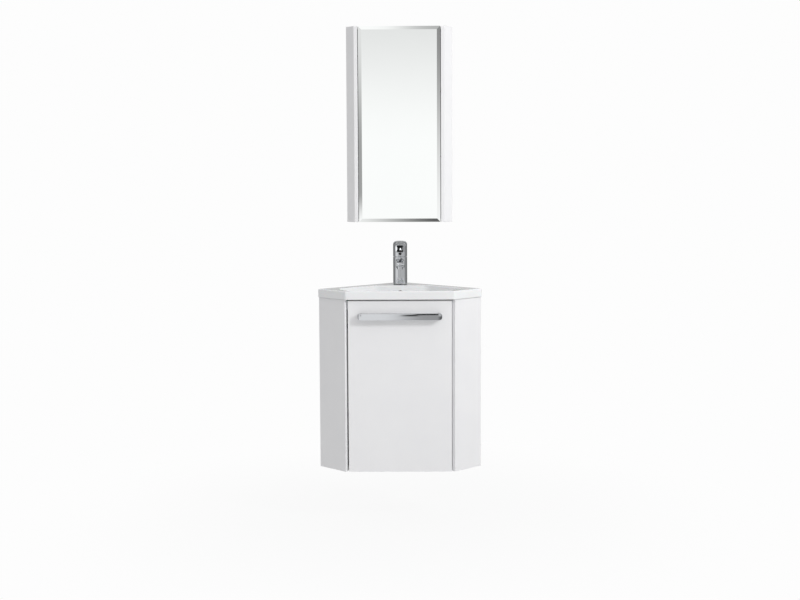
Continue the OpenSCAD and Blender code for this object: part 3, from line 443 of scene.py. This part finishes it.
def arm(name, forward, top, bottom, half_width, square, nose, crown, tilt):
    """A bar that reaches forward from the tap's axis. At each distance forward its section is a
    superellipse between the bottom and top heights, and over the last nose millimetres the
    section draws in along a quarter circle, which rounds the end. The end face is closed by
    copies of the last section that shrink to a point and stand out by crown x (1 - size
    squared), and it leans by tilt, as a shear that grows over the last third."""
    a = np.linspace(0, 2 * math.pi, 72, endpoint=False)
    reach_end = forward[-1]
    y = np.concatenate([np.linspace(forward[0], reach_end - nose, 26),
                        reach_end - nose + nose * np.sin(np.linspace(0, math.pi / 2, 9)[1:])])
    up, low = np.interp(y, forward, top), np.interp(y, forward, bottom)
    wide = np.interp(y, forward, half_width)
    past = np.maximum(0, y - reach_end + nose) / nose
    pull = nose * (1 - np.sqrt(np.maximum(0, 1 - past ** 2)))
    height, width, middle = (up - low) / 2 - pull, wide - pull, (up + low) / 2
    size = np.array([0.9, 0.75, 0.58, 0.4, 0.22, 0.08])
    y = np.concatenate([y, reach_end + crown * (1 - size ** 2)])
    height = np.concatenate([height, height[-1] * size])
    width = np.concatenate([width, width[-1] * size])
    middle = np.concatenate([middle, np.full(6, middle[-1])])
    across = np.sign(np.cos(a)) * np.abs(np.cos(a)) ** (2 / square) * width[:, None]
    upward = np.sign(np.sin(a)) * np.abs(np.sin(a)) ** (2 / square) * height[:, None]
    lean = np.clip((y - reach_end * 0.67) / (reach_end * 0.33), 0, 1)[:, None] * math.tan(tilt)
    grid = np.stack([across, -(y[:, None] - lean * upward), middle[:, None] + upward], -1)
    return surface(name, capped(grid + [0, -TAP_Y, RIM_Z]))


def smooth_line(points):
    """The B-spline of these control points, as two arrays of 40 values."""
    return b_spline(np.array(points, float), 40).T


def tap_pieces():
    """The tap's body and spout, and its lever with a turned head and an arm."""
    top, recess_r, recess = TAP_BODY_H, 20.2, 9
    column = turned("tap_column", [[0, TAP_SEAL_T], [TAP_R, TAP_SEAL_T], [TAP_R, top],
                                   [recess_r, top], [recess_r, top - recess], [0, top - recess]],
                    [0, 0.8, 1.2, 0.5, 0.2, 0], RIM_Z)
    y, up = smooth_line([[0, 101], [26, 100.5], [60, 99], [95, 95.5], [117, 91]])
    low = np.interp(y, *smooth_line([[0, 55], [26, 60], [52, 70], [80, 75], [117, 75]]))
    spout = arm("tap_spout", y, up, low, np.interp(y, [0, 40, 117], [17, 17, 16]), 4.5, 4.0,
                0.8, math.radians(2))
    low_z, high_z = top + LEVER_GAP, top + LEVER_TOP
    # The head is hollow: a ball-shaped room round the pivot, and a bore for the stem above it.
    pivot, ball_r, mouth_r, bore_r, bore_top = top - 3, 21.3, 20.7, 4.1, 38.3
    sphere = np.linspace(math.asin(bore_r / ball_r), math.asin(mouth_r / ball_r), 14)
    outline = ([[0, pivot + bore_top], [bore_r, pivot + bore_top]]
               + np.stack([ball_r * np.sin(sphere), pivot + ball_r * np.cos(sphere)], -1).tolist()
               + [[TAP_R, low_z], [TAP_R, high_z], [0, high_z]])
    radii = [0, 0.1] + [0.02] * 14 + [0.5, 12, 0]

    def tilted_back(grid):
        """Behind the axis the head's underside slopes up, so that the lever can tip back."""
        grid[..., 2] = np.maximum(grid[..., 2], low_z + 11 / 28 * np.maximum(0, grid[..., 1]))
        return grid

    head = turned("lever_head", outline, radii, RIM_Z, tilted_back)
    y, up = smooth_line([[4, low_z + 51], [30, low_z + 51], [62, low_z + 50.5], [92, low_z + 49.4]])
    low = np.interp(y, *smooth_line([[4, low_z + 17], [30, low_z + 18], [60, low_z + 18.8],
                                     [92, low_z + 19.4]]))
    grip = arm("lever_grip", y, up, low, np.interp(y, [4, 92], [19.5, 18.5]), 4.0, 2.2,
               0.25, math.radians(8.3))
    for thing in (column, spout, head, grip):
        level_normals(thing)
    return [column, spout], [head, grip]


# ---------- Finishes ----------
def linear(colour):
    """An sRGB hex colour as linear red, green, blue and alpha."""
    s = np.array([int(colour[i:i + 2], 16) for i in (1, 3, 5)]) / 255
    return (*np.where(s <= 0.04045, s / 12.92, ((s + 0.055) / 1.055) ** 2.4).tolist(), 1.0)


def add(tree, kind, inputs=None, **settings):
    """Adds one node with its settings; inputs gives its sockets a value or the output that
    feeds them."""
    made = tree.nodes.new("ShaderNode" + kind)
    for name, value in settings.items():
        setattr(made, name, value)
    for name, value in (inputs or {}).items():
        if isinstance(value, bpy.types.NodeSocket):
            tree.links.new(value, made.inputs[name])
        else:
            made.inputs[name].default_value = value
    return made


def new_finish(name):
    """An empty material, its node tree and its place in the object's own coordinates."""
    material = bpy.data.materials.new(name)
    material.use_nodes = True
    material.node_tree.nodes.clear()
    return material, material.node_tree, add(material.node_tree, "TexCoord").outputs["Object"]


def shade(material, tree, **sockets):
    """Ends the material in a Principled shader with these sockets."""
    sockets = {name.replace("_", " "): value for name, value in sockets.items()}
    shader = add(tree, "BsdfPrincipled", sockets)
    add(tree, "OutputMaterial", {"Surface": shader.outputs[0]})
    return material


def sprayed_lacquer():
    """Two-part lacquer sprayed on sanded board. The eye sees a clean bright white whose gloss
    wavers a little, because the sprayed film dries with an orange peel of a few millimetres,
    drawn here 6 mm wide so that it shows at all, and faint hazy patches where it was polished."""
    material, tree, place = new_finish("sprayed_white_lacquer")
    peel = add(tree, "TexNoise", {"Vector": place, "Scale": 1 / 0.006, "Detail": 1.0})
    sag = add(tree, "TexNoise", {"Vector": place, "Scale": 1 / 0.09, "Detail": 2.0})
    tone = add(tree, "ValToRGB", {"Fac": sag.outputs["Fac"]})
    tone.color_ramp.elements[0].color = linear("#EEEEF0")
    tone.color_ramp.elements[1].color = linear("#F2F2F3")
    haze = add(tree, "MapRange", {"Value": sag.outputs["Fac"], "From Min": 0.3, "From Max": 0.7,
                                  "To Min": 0.20, "To Max": 0.27})
    bump = add(tree, "Bump", {"Height": peel.outputs["Fac"], "Distance": 1.2e-5, "Strength": 1.0})
    return shade(material, tree, Base_Color=tone.outputs["Color"], Roughness=haze.outputs["Result"],
                 IOR=1.5, Coat_Weight=0.6, Coat_Roughness=0.05, Normal=bump.outputs["Normal"],
                 Coat_Normal=bump.outputs["Normal"])


def melamine_board():
    """Chipboard faced with melamine paper pressed on a pearled steel plate. The eye sees a matt
    white with a fine pearl grain, 0.5 mm on the real board and drawn at 1.5 mm."""
    material, tree, place = new_finish("pressed_white_melamine")
    pearl = add(tree, "TexNoise", {"Vector": place, "Scale": 1 / 0.0015, "Detail": 2.0})
    flow = add(tree, "TexNoise", {"Vector": place, "Scale": 1 / 0.12, "Detail": 3.0})
    tone = add(tree, "ValToRGB", {"Fac": flow.outputs["Fac"]})
    tone.color_ramp.elements[0].color = linear("#E6E6E3")
    tone.color_ramp.elements[1].color = linear("#ECECEA")
    worn = add(tree, "MapRange", {"Value": pearl.outputs["Fac"], "To Min": 0.42, "To Max": 0.58})
    bump = add(tree, "Bump", {"Height": pearl.outputs["Fac"], "Distance": 3e-5, "Strength": 0.6})
    return shade(material, tree, Base_Color=tone.outputs["Color"], Roughness=worn.outputs["Result"],
                 IOR=1.5, Normal=bump.outputs["Normal"])


def glazed_china():
    """Vitreous china, slip cast and dipped in white glaze. The eye sees a deep wet gloss over a
    soft white body, and reflections that swim, because the glaze lies in waves 25 mm long."""
    material, tree, place = new_finish("dipped_white_glaze")
    wave = add(tree, "TexNoise", {"Vector": place, "Scale": 1 / 0.025, "Detail": 1.0})
    pin = add(tree, "TexNoise", {"Vector": place, "Scale": 1 / 0.002, "Detail": 1.0})
    height = add(tree, "Math", {0: pin.outputs["Fac"], 1: 0.02, 2: wave.outputs["Fac"]},
                 operation="MULTIPLY_ADD")
    tone = add(tree, "ValToRGB", {"Fac": wave.outputs["Fac"]})
    tone.color_ramp.elements[0].color = linear("#EFF0F1")
    tone.color_ramp.elements[1].color = linear("#F1F2F3")
    bump = add(tree, "Bump", {"Height": height.outputs[0], "Distance": 9e-5, "Strength": 1.0})
    return shade(material, tree, Base_Color=tone.outputs["Color"], Roughness=0.16, IOR=1.5,
                 Subsurface_Weight=0.03, Subsurface_Scale=0.004, Coat_Weight=0.7,
                 Coat_Roughness=0.02, Coat_Normal=bump.outputs["Normal"])


def chrome_plate():
    """Bright chrome over nickel on polished brass. The eye sees its surroundings, a little
    cooler and darker, with a trace of the polishing wheel's haze and dried water, drawn 8 mm
    wide."""
    material, tree, place = new_finish("polished_chrome_plate")
    wheel = add(tree, "TexNoise", {"Vector": place, "Scale": 1 / 0.008, "Detail": 3.0})
    haze = add(tree, "MapRange", {"Value": wheel.outputs["Fac"], "From Min": 0.35, "From Max": 0.75,
                                  "To Min": 0.02, "To Max": 0.045})
    bump = add(tree, "Bump", {"Height": wheel.outputs["Fac"], "Distance": 2e-6, "Strength": 0.5})
    return shade(material, tree, Base_Color=linear("#CBCDD0"), Metallic=1.0,
                 Roughness=haze.outputs["Result"], Normal=bump.outputs["Normal"])


def zinc_plate():
    """Pressed and folded steel, zinc plated and passivated. The eye sees a satin grey with a
    faint cloud of blue, and streaks along the rolled sheet 2 mm apart."""
    material, tree, place = new_finish("passivated_zinc_plate")
    stretched = add(tree, "Mapping", {"Vector": place, "Scale": (1.0, 1.0, 0.12)})
    rolled = add(tree, "TexNoise", {"Vector": stretched.outputs[0], "Scale": 1 / 0.002,
                                    "Detail": 2.0})
    cloud = add(tree, "TexNoise", {"Vector": place, "Scale": 1 / 0.014, "Detail": 2.0})
    tone = add(tree, "ValToRGB", {"Fac": cloud.outputs["Fac"]})
    tone.color_ramp.elements[0].color = linear("#A9ADB3")
    tone.color_ramp.elements[1].color = linear("#C3C5C6")
    satin = add(tree, "MapRange", {"Value": rolled.outputs["Fac"], "To Min": 0.26, "To Max": 0.44})
    bump = add(tree, "Bump", {"Height": rolled.outputs["Fac"], "Distance": 1e-5, "Strength": 0.5})
    return shade(material, tree, Base_Color=tone.outputs["Color"], Metallic=1.0,
                 Roughness=satin.outputs["Result"], Normal=bump.outputs["Normal"])


def moulded_rubber():
    """EPDM rubber, moulded with carbon black. The eye sees a dull soft black with a fine dusty
    grain from the spark-eroded mould, 0.8 mm wide here."""
    material, tree, place = new_finish("moulded_black_rubber")
    grain = add(tree, "TexNoise", {"Vector": place, "Scale": 1 / 0.0008, "Detail": 2.0})
    tone = add(tree, "ValToRGB", {"Fac": grain.outputs["Fac"]})
    tone.color_ramp.elements[0].color = linear("#1B1B1C")
    tone.color_ramp.elements[1].color = linear("#272728")
    bump = add(tree, "Bump", {"Height": grain.outputs["Fac"], "Distance": 4e-5, "Strength": 0.6})
    return shade(material, tree, Base_Color=tone.outputs["Color"], Roughness=0.68, IOR=1.52,
                 Normal=bump.outputs["Normal"])


def moulded_polypropylene():
    """Polypropylene, injection moulded. The eye sees a waxy white that lets a little light in,
    satin from the mould, with slow flow marks about 20 mm apart."""
    material, tree, place = new_finish("moulded_white_polypropylene")
    flow = add(tree, "TexNoise", {"Vector": place, "Scale": 1 / 0.02, "Detail": 2.0})
    skin = add(tree, "TexNoise", {"Vector": place, "Scale": 1 / 0.001, "Detail": 1.0})
    tone = add(tree, "ValToRGB", {"Fac": flow.outputs["Fac"]})
    tone.color_ramp.elements[0].color = linear("#E2E3E3")
    tone.color_ramp.elements[1].color = linear("#EBECEC")
    satin = add(tree, "MapRange", {"Value": flow.outputs["Fac"], "To Min": 0.3, "To Max": 0.42})
    bump = add(tree, "Bump", {"Height": skin.outputs["Fac"], "Distance": 2e-5, "Strength": 0.5})
    return shade(material, tree, Base_Color=tone.outputs["Color"],
                 Roughness=satin.outputs["Result"], IOR=1.49, Subsurface_Weight=0.12,
                 Subsurface_Scale=0.002, Normal=bump.outputs["Normal"])


def silvered_mirror():
    """Float glass silvered on the back, with a ground and polished bevel. The eye sees the room
    without any grain, only a slow drift of the float glass, some 150 mm long."""
    material, tree, place = new_finish("silvered_float_glass")
    drift = add(tree, "TexNoise", {"Vector": place, "Scale": 1 / 0.15, "Detail": 1.0})
    tone = add(tree, "ValToRGB", {"Fac": drift.outputs["Fac"]})
    tone.color_ramp.elements[0].color = linear("#F4F6F5")
    tone.color_ramp.elements[1].color = linear("#F6F8F7")
    bump = add(tree, "Bump", {"Height": drift.outputs["Fac"], "Distance": 2e-5, "Strength": 0.5})
    return shade(material, tree, Base_Color=tone.outputs["Color"], Metallic=1.0, Roughness=0.012,
                 Normal=bump.outputs["Normal"])


def clear_glass():
    """Soda-lime float glass with polished edges. The eye looks through it, with the faint green
    of its iron, deepest at the edges."""
    material, tree, place = new_finish("polished_clear_glass")
    drift = add(tree, "TexNoise", {"Vector": place, "Scale": 1 / 0.08, "Detail": 1.0})
    tone = add(tree, "ValToRGB", {"Fac": drift.outputs["Fac"]})
    tone.color_ramp.elements[0].color = linear("#E4F3EC")
    tone.color_ramp.elements[1].color = linear("#EAF6F0")
    return shade(material, tree, Base_Color=tone.outputs["Color"], Roughness=0.01, IOR=1.52,
                 Transmission_Weight=1.0)


def turned_brass():
    """Brass bar, turned and left bare. The eye sees a warm yellow metal with the lathe's fine
    rings, 0.3 mm apart and drawn at 1 mm, and browner patches where it has dulled."""
    material, tree, place = new_finish("turned_bare_brass")
    squeezed = add(tree, "Mapping", {"Vector": place, "Scale": (0.1, 0.1, 1.0)})
    rings = add(tree, "TexNoise", {"Vector": squeezed.outputs[0], "Scale": 1 / 0.001,
                                   "Detail": 1.0})
    dull = add(tree, "TexNoise", {"Vector": place, "Scale": 1 / 0.012, "Detail": 3.0})
    tone = add(tree, "ValToRGB", {"Fac": dull.outputs["Fac"]})
    tone.color_ramp.elements[0].color = linear("#B08A48")
    tone.color_ramp.elements[1].color = linear("#D9BC74")
    satin = add(tree, "MapRange", {"Value": dull.outputs["Fac"], "To Min": 0.36, "To Max": 0.2})
    bump = add(tree, "Bump", {"Height": rings.outputs["Fac"], "Distance": 1e-5, "Strength": 0.6})
    return shade(material, tree, Base_Color=tone.outputs["Color"], Metallic=1.0,
                 Roughness=satin.outputs["Result"], Normal=bump.outputs["Normal"])


def moulded_cap():
    """A small cap moulded in black ABS. The eye sees a smooth dark spot with a soft shine and a
    fine mould grain of 0.5 mm."""
    material, tree, place = new_finish("moulded_black_abs")
    grain = add(tree, "TexNoise", {"Vector": place, "Scale": 1 / 0.0005, "Detail": 1.0})
    tone = add(tree, "ValToRGB", {"Fac": grain.outputs["Fac"]})
    tone.color_ramp.elements[0].color = linear("#141415")
    tone.color_ramp.elements[1].color = linear("#1E1E20")
    bump = add(tree, "Bump", {"Height": grain.outputs["Fac"], "Distance": 1e-5, "Strength": 0.4})
    return shade(material, tree, Base_Color=tone.outputs["Color"], Roughness=0.3, IOR=1.53,
                 Normal=bump.outputs["Normal"])


FINISH = {
    "white_lacquer": sprayed_lacquer(), "white_board": melamine_board(),
    "basin_white": glazed_china(), "chrome_plate": chrome_plate(), "zinc_plate": zinc_plate(),
    "rubber_black": moulded_rubber(), "pp_white": moulded_polypropylene(),
    "mirror_silver": silvered_mirror(), "shelf_glass": clear_glass(),
    "brass_bare": turned_brass(), "cap_black": moulded_cap(),
}
# The edge radius of each piece, in millimetres, and that of the pieces which aren't listed.
EDGE_ELSE = 0.25
EDGE = {
    "door_panel": 1.4, "left_side_panel": 1.2, "right_side_panel": 1.2,
    "mirror_left_post": 1.2, "mirror_right_post": 1.2, "left_back_panel": 0.7,
    "right_back_panel": 0.7, "bottom_panel": 0.7, "hanging_rails": 0.8, "front_rail": 0.5,
    "shelf": 0.8, "mirror_left_back": 0.7, "mirror_right_back": 0.7, "mirror_top_board": 0.7,
    "mirror_bottom_board": 0.7, "mirror_door_board": 0.6, "mirror_shelves": 0.8,
    "trap_nuts": 0.6, "trap_bottle": 1.2, "trap_cup": 0.8, "waste_backnut": 0.6,
    "waste_plug": 0.8, "waste_body": 0.5, "hinge_arms": 0.4, "mirror_hinge_arms": 0.4,
    "hinge_plates": 0.6, "mirror_hinge_plates": 0.6,
}
# The first four are drawn anew, and the mirror keeps its solid, whose bevel is sharp.
not_eased = {"basin", "door_handle", "tap_body", "tap_lever", "mirror_glass"}

fitted(basin(), "basin")
channel = overflow_channel()
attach(channel, "vanity")
channel.data.materials.append(FINISH["basin_white"])
fitted(handle(), "door_handle")
fixed, tipping = tap_pieces()
for pieces, node in ((fixed, "tap_body"), (tipping, "tap_lever")):
    for piece in pieces:
        fitted(piece, node)
for node in sorted(set(frame["nodes"]) - not_eased):
    fitted(eased(node, EDGE.get(node, EDGE_ELSE)), node)
reshaped("door_panel", raised_top)
reshaped("left_side_panel", square_cut, 0.0)
reshaped("right_side_panel", square_cut, PANEL_NEARER)
frame["nodes"]["mirror_glass"].data.materials.clear()
frame["nodes"]["mirror_glass"].data.materials.append(FINISH["mirror_silver"])


# ---------- Floor, light and camera ----------
def floor():
    """A pale floor, as a disc of rings whose radii grow outwards. It is lit as any surface, and
    for the camera it fades into the white background."""
    a = np.linspace(0, 2 * math.pi, 96, endpoint=False)
    r = np.array([0.0, 400, 900, 1800, 3200, 5000, 9000])[:, None]
    grid = np.stack([r * np.cos(a), r * np.sin(a) - 250, np.full((len(r), 96), FLOOR_Z)], -1)
    disc = surface("studio_floor", grid)
    if disc.data.polygons[0].normal.z < 0:
        disc.data.flip_normals()
    material, tree, place = new_finish("pale_painted_floor")
    paint = add(tree, "BsdfDiffuse", {"Color": linear("#D2D2D2")})
    white = add(tree, "Emission", {"Color": linear("#FDFDFD"), "Strength": 1.0})
    away = add(tree, "VectorMath", {0: place, 1: (0, -0.25, FLOOR_Z * MM)}, operation="DISTANCE")
    near = add(tree, "MapRange", {"Value": away.outputs["Value"], "From Min": 0.3, "From Max": 1.4,
                                  "To Min": 0.93, "To Max": 1.0}, interpolation_type="SMOOTHSTEP")
    seen = add(tree, "MixShader", {0: near.outputs["Result"], 1: paint.outputs[0],
                                   2: white.outputs[0]})
    path = add(tree, "LightPath")
    shown = add(tree, "Math", {0: path.outputs["Is Camera Ray"],
                               1: path.outputs["Is Transmission Ray"]}, operation="MAXIMUM")
    either = add(tree, "MixShader", {0: shown.outputs[0], 1: paint.outputs[0], 2: seen.outputs[0]})
    add(tree, "OutputMaterial", {"Surface": either.outputs[0]})
    disc.data.materials.append(material)
    disc.visible_glossy = False


def studio():
    """The world: white for the camera, an even soft light for matt surfaces that is stronger from
    above, and for gloss a white studio with darker upper walls and sides, and some dark and some
    bright screens. A screen is a range of azimuth and elevation in degrees, with soft edges."""
    world = bpy.data.worlds.new("studio")
    scene.world = world
    world.use_nodes = True
    tree = world.node_tree
    tree.nodes.clear()

    def fade(level, value, start, end, low=0.0, high=1.0):
        """level times a factor that runs smoothly from low to high while value runs from start
        to end."""
        factor = add(tree, "MapRange", {"Value": value, "From Min": start, "From Max": end,
                                        "To Min": low, "To Max": high},
                     interpolation_type="SMOOTHSTEP").outputs[0]
        return add(tree, "Math", {0: level, 1: factor}, operation="MULTIPLY").outputs[0]

    toward = add(tree, "SeparateXYZ", {0: add(tree, "TexCoord").outputs["Generated"]}).outputs
    ahead = add(tree, "Math", {0: toward[1], 1: -1.0}, operation="MULTIPLY").outputs[0]
    turn = add(tree, "Math", {0: toward[0], 1: ahead}, operation="ARCTAN2").outputs[0]
    azimuth = add(tree, "Math", {0: turn}, operation="DEGREES").outputs[0]
    rise = add(tree, "Math", {0: toward[2]}, operation="ARCSINE").outputs[0]
    elevation = add(tree, "Math", {0: rise}, operation="DEGREES").outputs[0]
    aside = add(tree, "Math", {0: azimuth}, operation="ABSOLUTE").outputs[0]

    def screen(left, right, low, high, soft, under=None, over=None):
        """1 inside the range and 0 outside; under and over are the softness of the lower and
        upper edge, where it differs."""
        under, over = under or soft, over or soft
        inside = fade(1.0, azimuth, left - soft, left + soft)
        inside = fade(inside, azimuth, right + soft, right - soft)
        inside = fade(inside, elevation, low - under, low + under)
        return fade(inside, elevation, high + over, high - over)

    light = fade(1.0, elevation, 1.0, 7.5, 1.05, 0.80)
    light = fade(light, elevation, 52.0, 66.0, 1.0, 0.25)
    light = fade(light, azimuth, 60.0, 125.0, 1.0, 0.25)
    light = fade(light, azimuth, -50.0, -118.0, 1.0, 0.22)
    for start, end, most, low, high in ((110.0, 140.0, 0.28, 0.5, 4.0),
                                        (140.0, 160.0, 0.30, 8.0, 14.0)):
        behind = fade(fade(1.0, aside, start, end, 0.0, most), elevation, low, high)
        behind = fade(behind, elevation, 55.0, 40.0)
        light = add(tree, "Math", {0: behind, 1: light}, operation="ADD").outputs[0]
    for darkness, *edges in ((0.97, -0.27, 0.36, -5.6, -4.3, 0.12),
                             (0.99, 0.24, 2.20, -4.55, -2.3, 0.10),
                             (0.56, -0.2, 2.4, -14.0, -2.5, 0.95, 0.95, 0.2),
                             (0.74, 2.4, 62.0, -14.0, -5.7, 0.3),
                             (0.93, 62.0, 175.0, -14.0, -5.7, 0.3),
                             (0.38, 2.8, 112.0, -5.6, -2.7, 0.5, 0.5, 0.3),
                             (0.38, -42.0, -3.0, -5.6, -3.2, 0.5),
                             (0.97, -2.75, 1.9, 6.6, 20.3, 0.3),
                             (0.50, 2.2, 42.0, 7.5, 20.0, 0.3),
                             (0.66, 13.0, 30.0, 1.0, 15.0, 5.0),
                             (0.64, -30.0, -13.0, -1.6, 3.7, 3.0, 0.7),
                             (0.38, 0.2, 12.0, 21.0, 32.0, 1.3),
                             (0.90, -0.96, 12.0, -28.0, -14.5, 2.6)):
        left_over = add(tree, "Math", {0: screen(*edges), 1: -darkness, 2: 1.0},
                        operation="MULTIPLY_ADD").outputs[0]
        light = add(tree, "Math", {0: light, 1: left_over}, operation="MULTIPLY").outputs[0]
    for brightness, *edges in ((0.30, -60.0, 60.0, 35.0, 50.0, 4.0),
                               (0.90, -8.0, -2.9, 7.5, 20.0, 0.25),
                               (3.2, -0.40, 0.42, 11.6, 13.9, 0.35),
                               (0.25, -12.0, -0.6, 21.0, 32.0, 1.3)):
        light = add(tree, "Math", {0: screen(*edges), 1: brightness, 2: light},
                    operation="MULTIPLY_ADD").outputs[0]
    matt = fade(1.0, elevation, 15.0, 65.0, 0.56, 1.0)
    path = add(tree, "LightPath")
    level = add(tree, "Mix", {0: path.outputs["Is Glossy Ray"], 2: matt, 3: light},
                data_type="FLOAT").outputs[0]
    shown = add(tree, "Math", {0: path.outputs["Is Camera Ray"],
                               1: path.outputs["Is Transmission Ray"]},
                operation="MAXIMUM").outputs[0]
    strength = add(tree, "Mix", {0: shown, 2: level, 3: 0.982}, data_type="FLOAT").outputs[0]
    background = add(tree, "Background", {"Color": linear("#FFFFFF"), "Strength": strength})
    add(tree, "OutputWorld", {"Surface": background.outputs[0]})


def lamp(name, azimuth, elevation, distance, size, level):
    """A square soft box that looks at the unit's middle, with its distance and size in metres.
    level is the brightness that it gives to white paint facing it, and its power is level x pi
    squared x distance squared."""
    aim_y, aim_z = -0.3, 0.5
    data = bpy.data.lights.new(name, "AREA")
    data.shape, data.size = "SQUARE", size
    data.energy = level * math.pi ** 2 * distance ** 2
    thing = bpy.data.objects.new(name, data)
    scene.collection.objects.link(thing)
    a, e = math.radians(azimuth), math.radians(elevation)
    thing.location = (distance * math.sin(a) * math.cos(e),
                      aim_y - distance * math.cos(a) * math.cos(e),
                      aim_z + distance * math.sin(e))
    thing.rotation_euler = (math.pi / 2 - e, 0, a)
    return thing


floor()
studio()
key = lamp("key_box", 48, 27, 3.5, 0.6, 0.37)
fill = lamp("front_box", -4, 8, 4.5, 2.6, 0.03)
fill.visible_glossy = key.visible_glossy = False

# The place and the angles come from a fit of measured edges: tilted down by 5.49 degrees, rolled
# by 0.24 and turned by 0.37.
lens = bpy.data.cameras.new("camera")
lens.lens, lens.sensor_width, lens.clip_end = 60.98, 36.0, 60.0
camera = bpy.data.objects.new("camera", lens)
scene.collection.objects.link(camera)
camera.location = (0.034, -5.265, 1.098)
camera.rotation_euler = [math.radians(a) for a in (90 - 5.49, 0.24, 0.368)]
scene.camera = camera

bpy.context.view_layer.update()
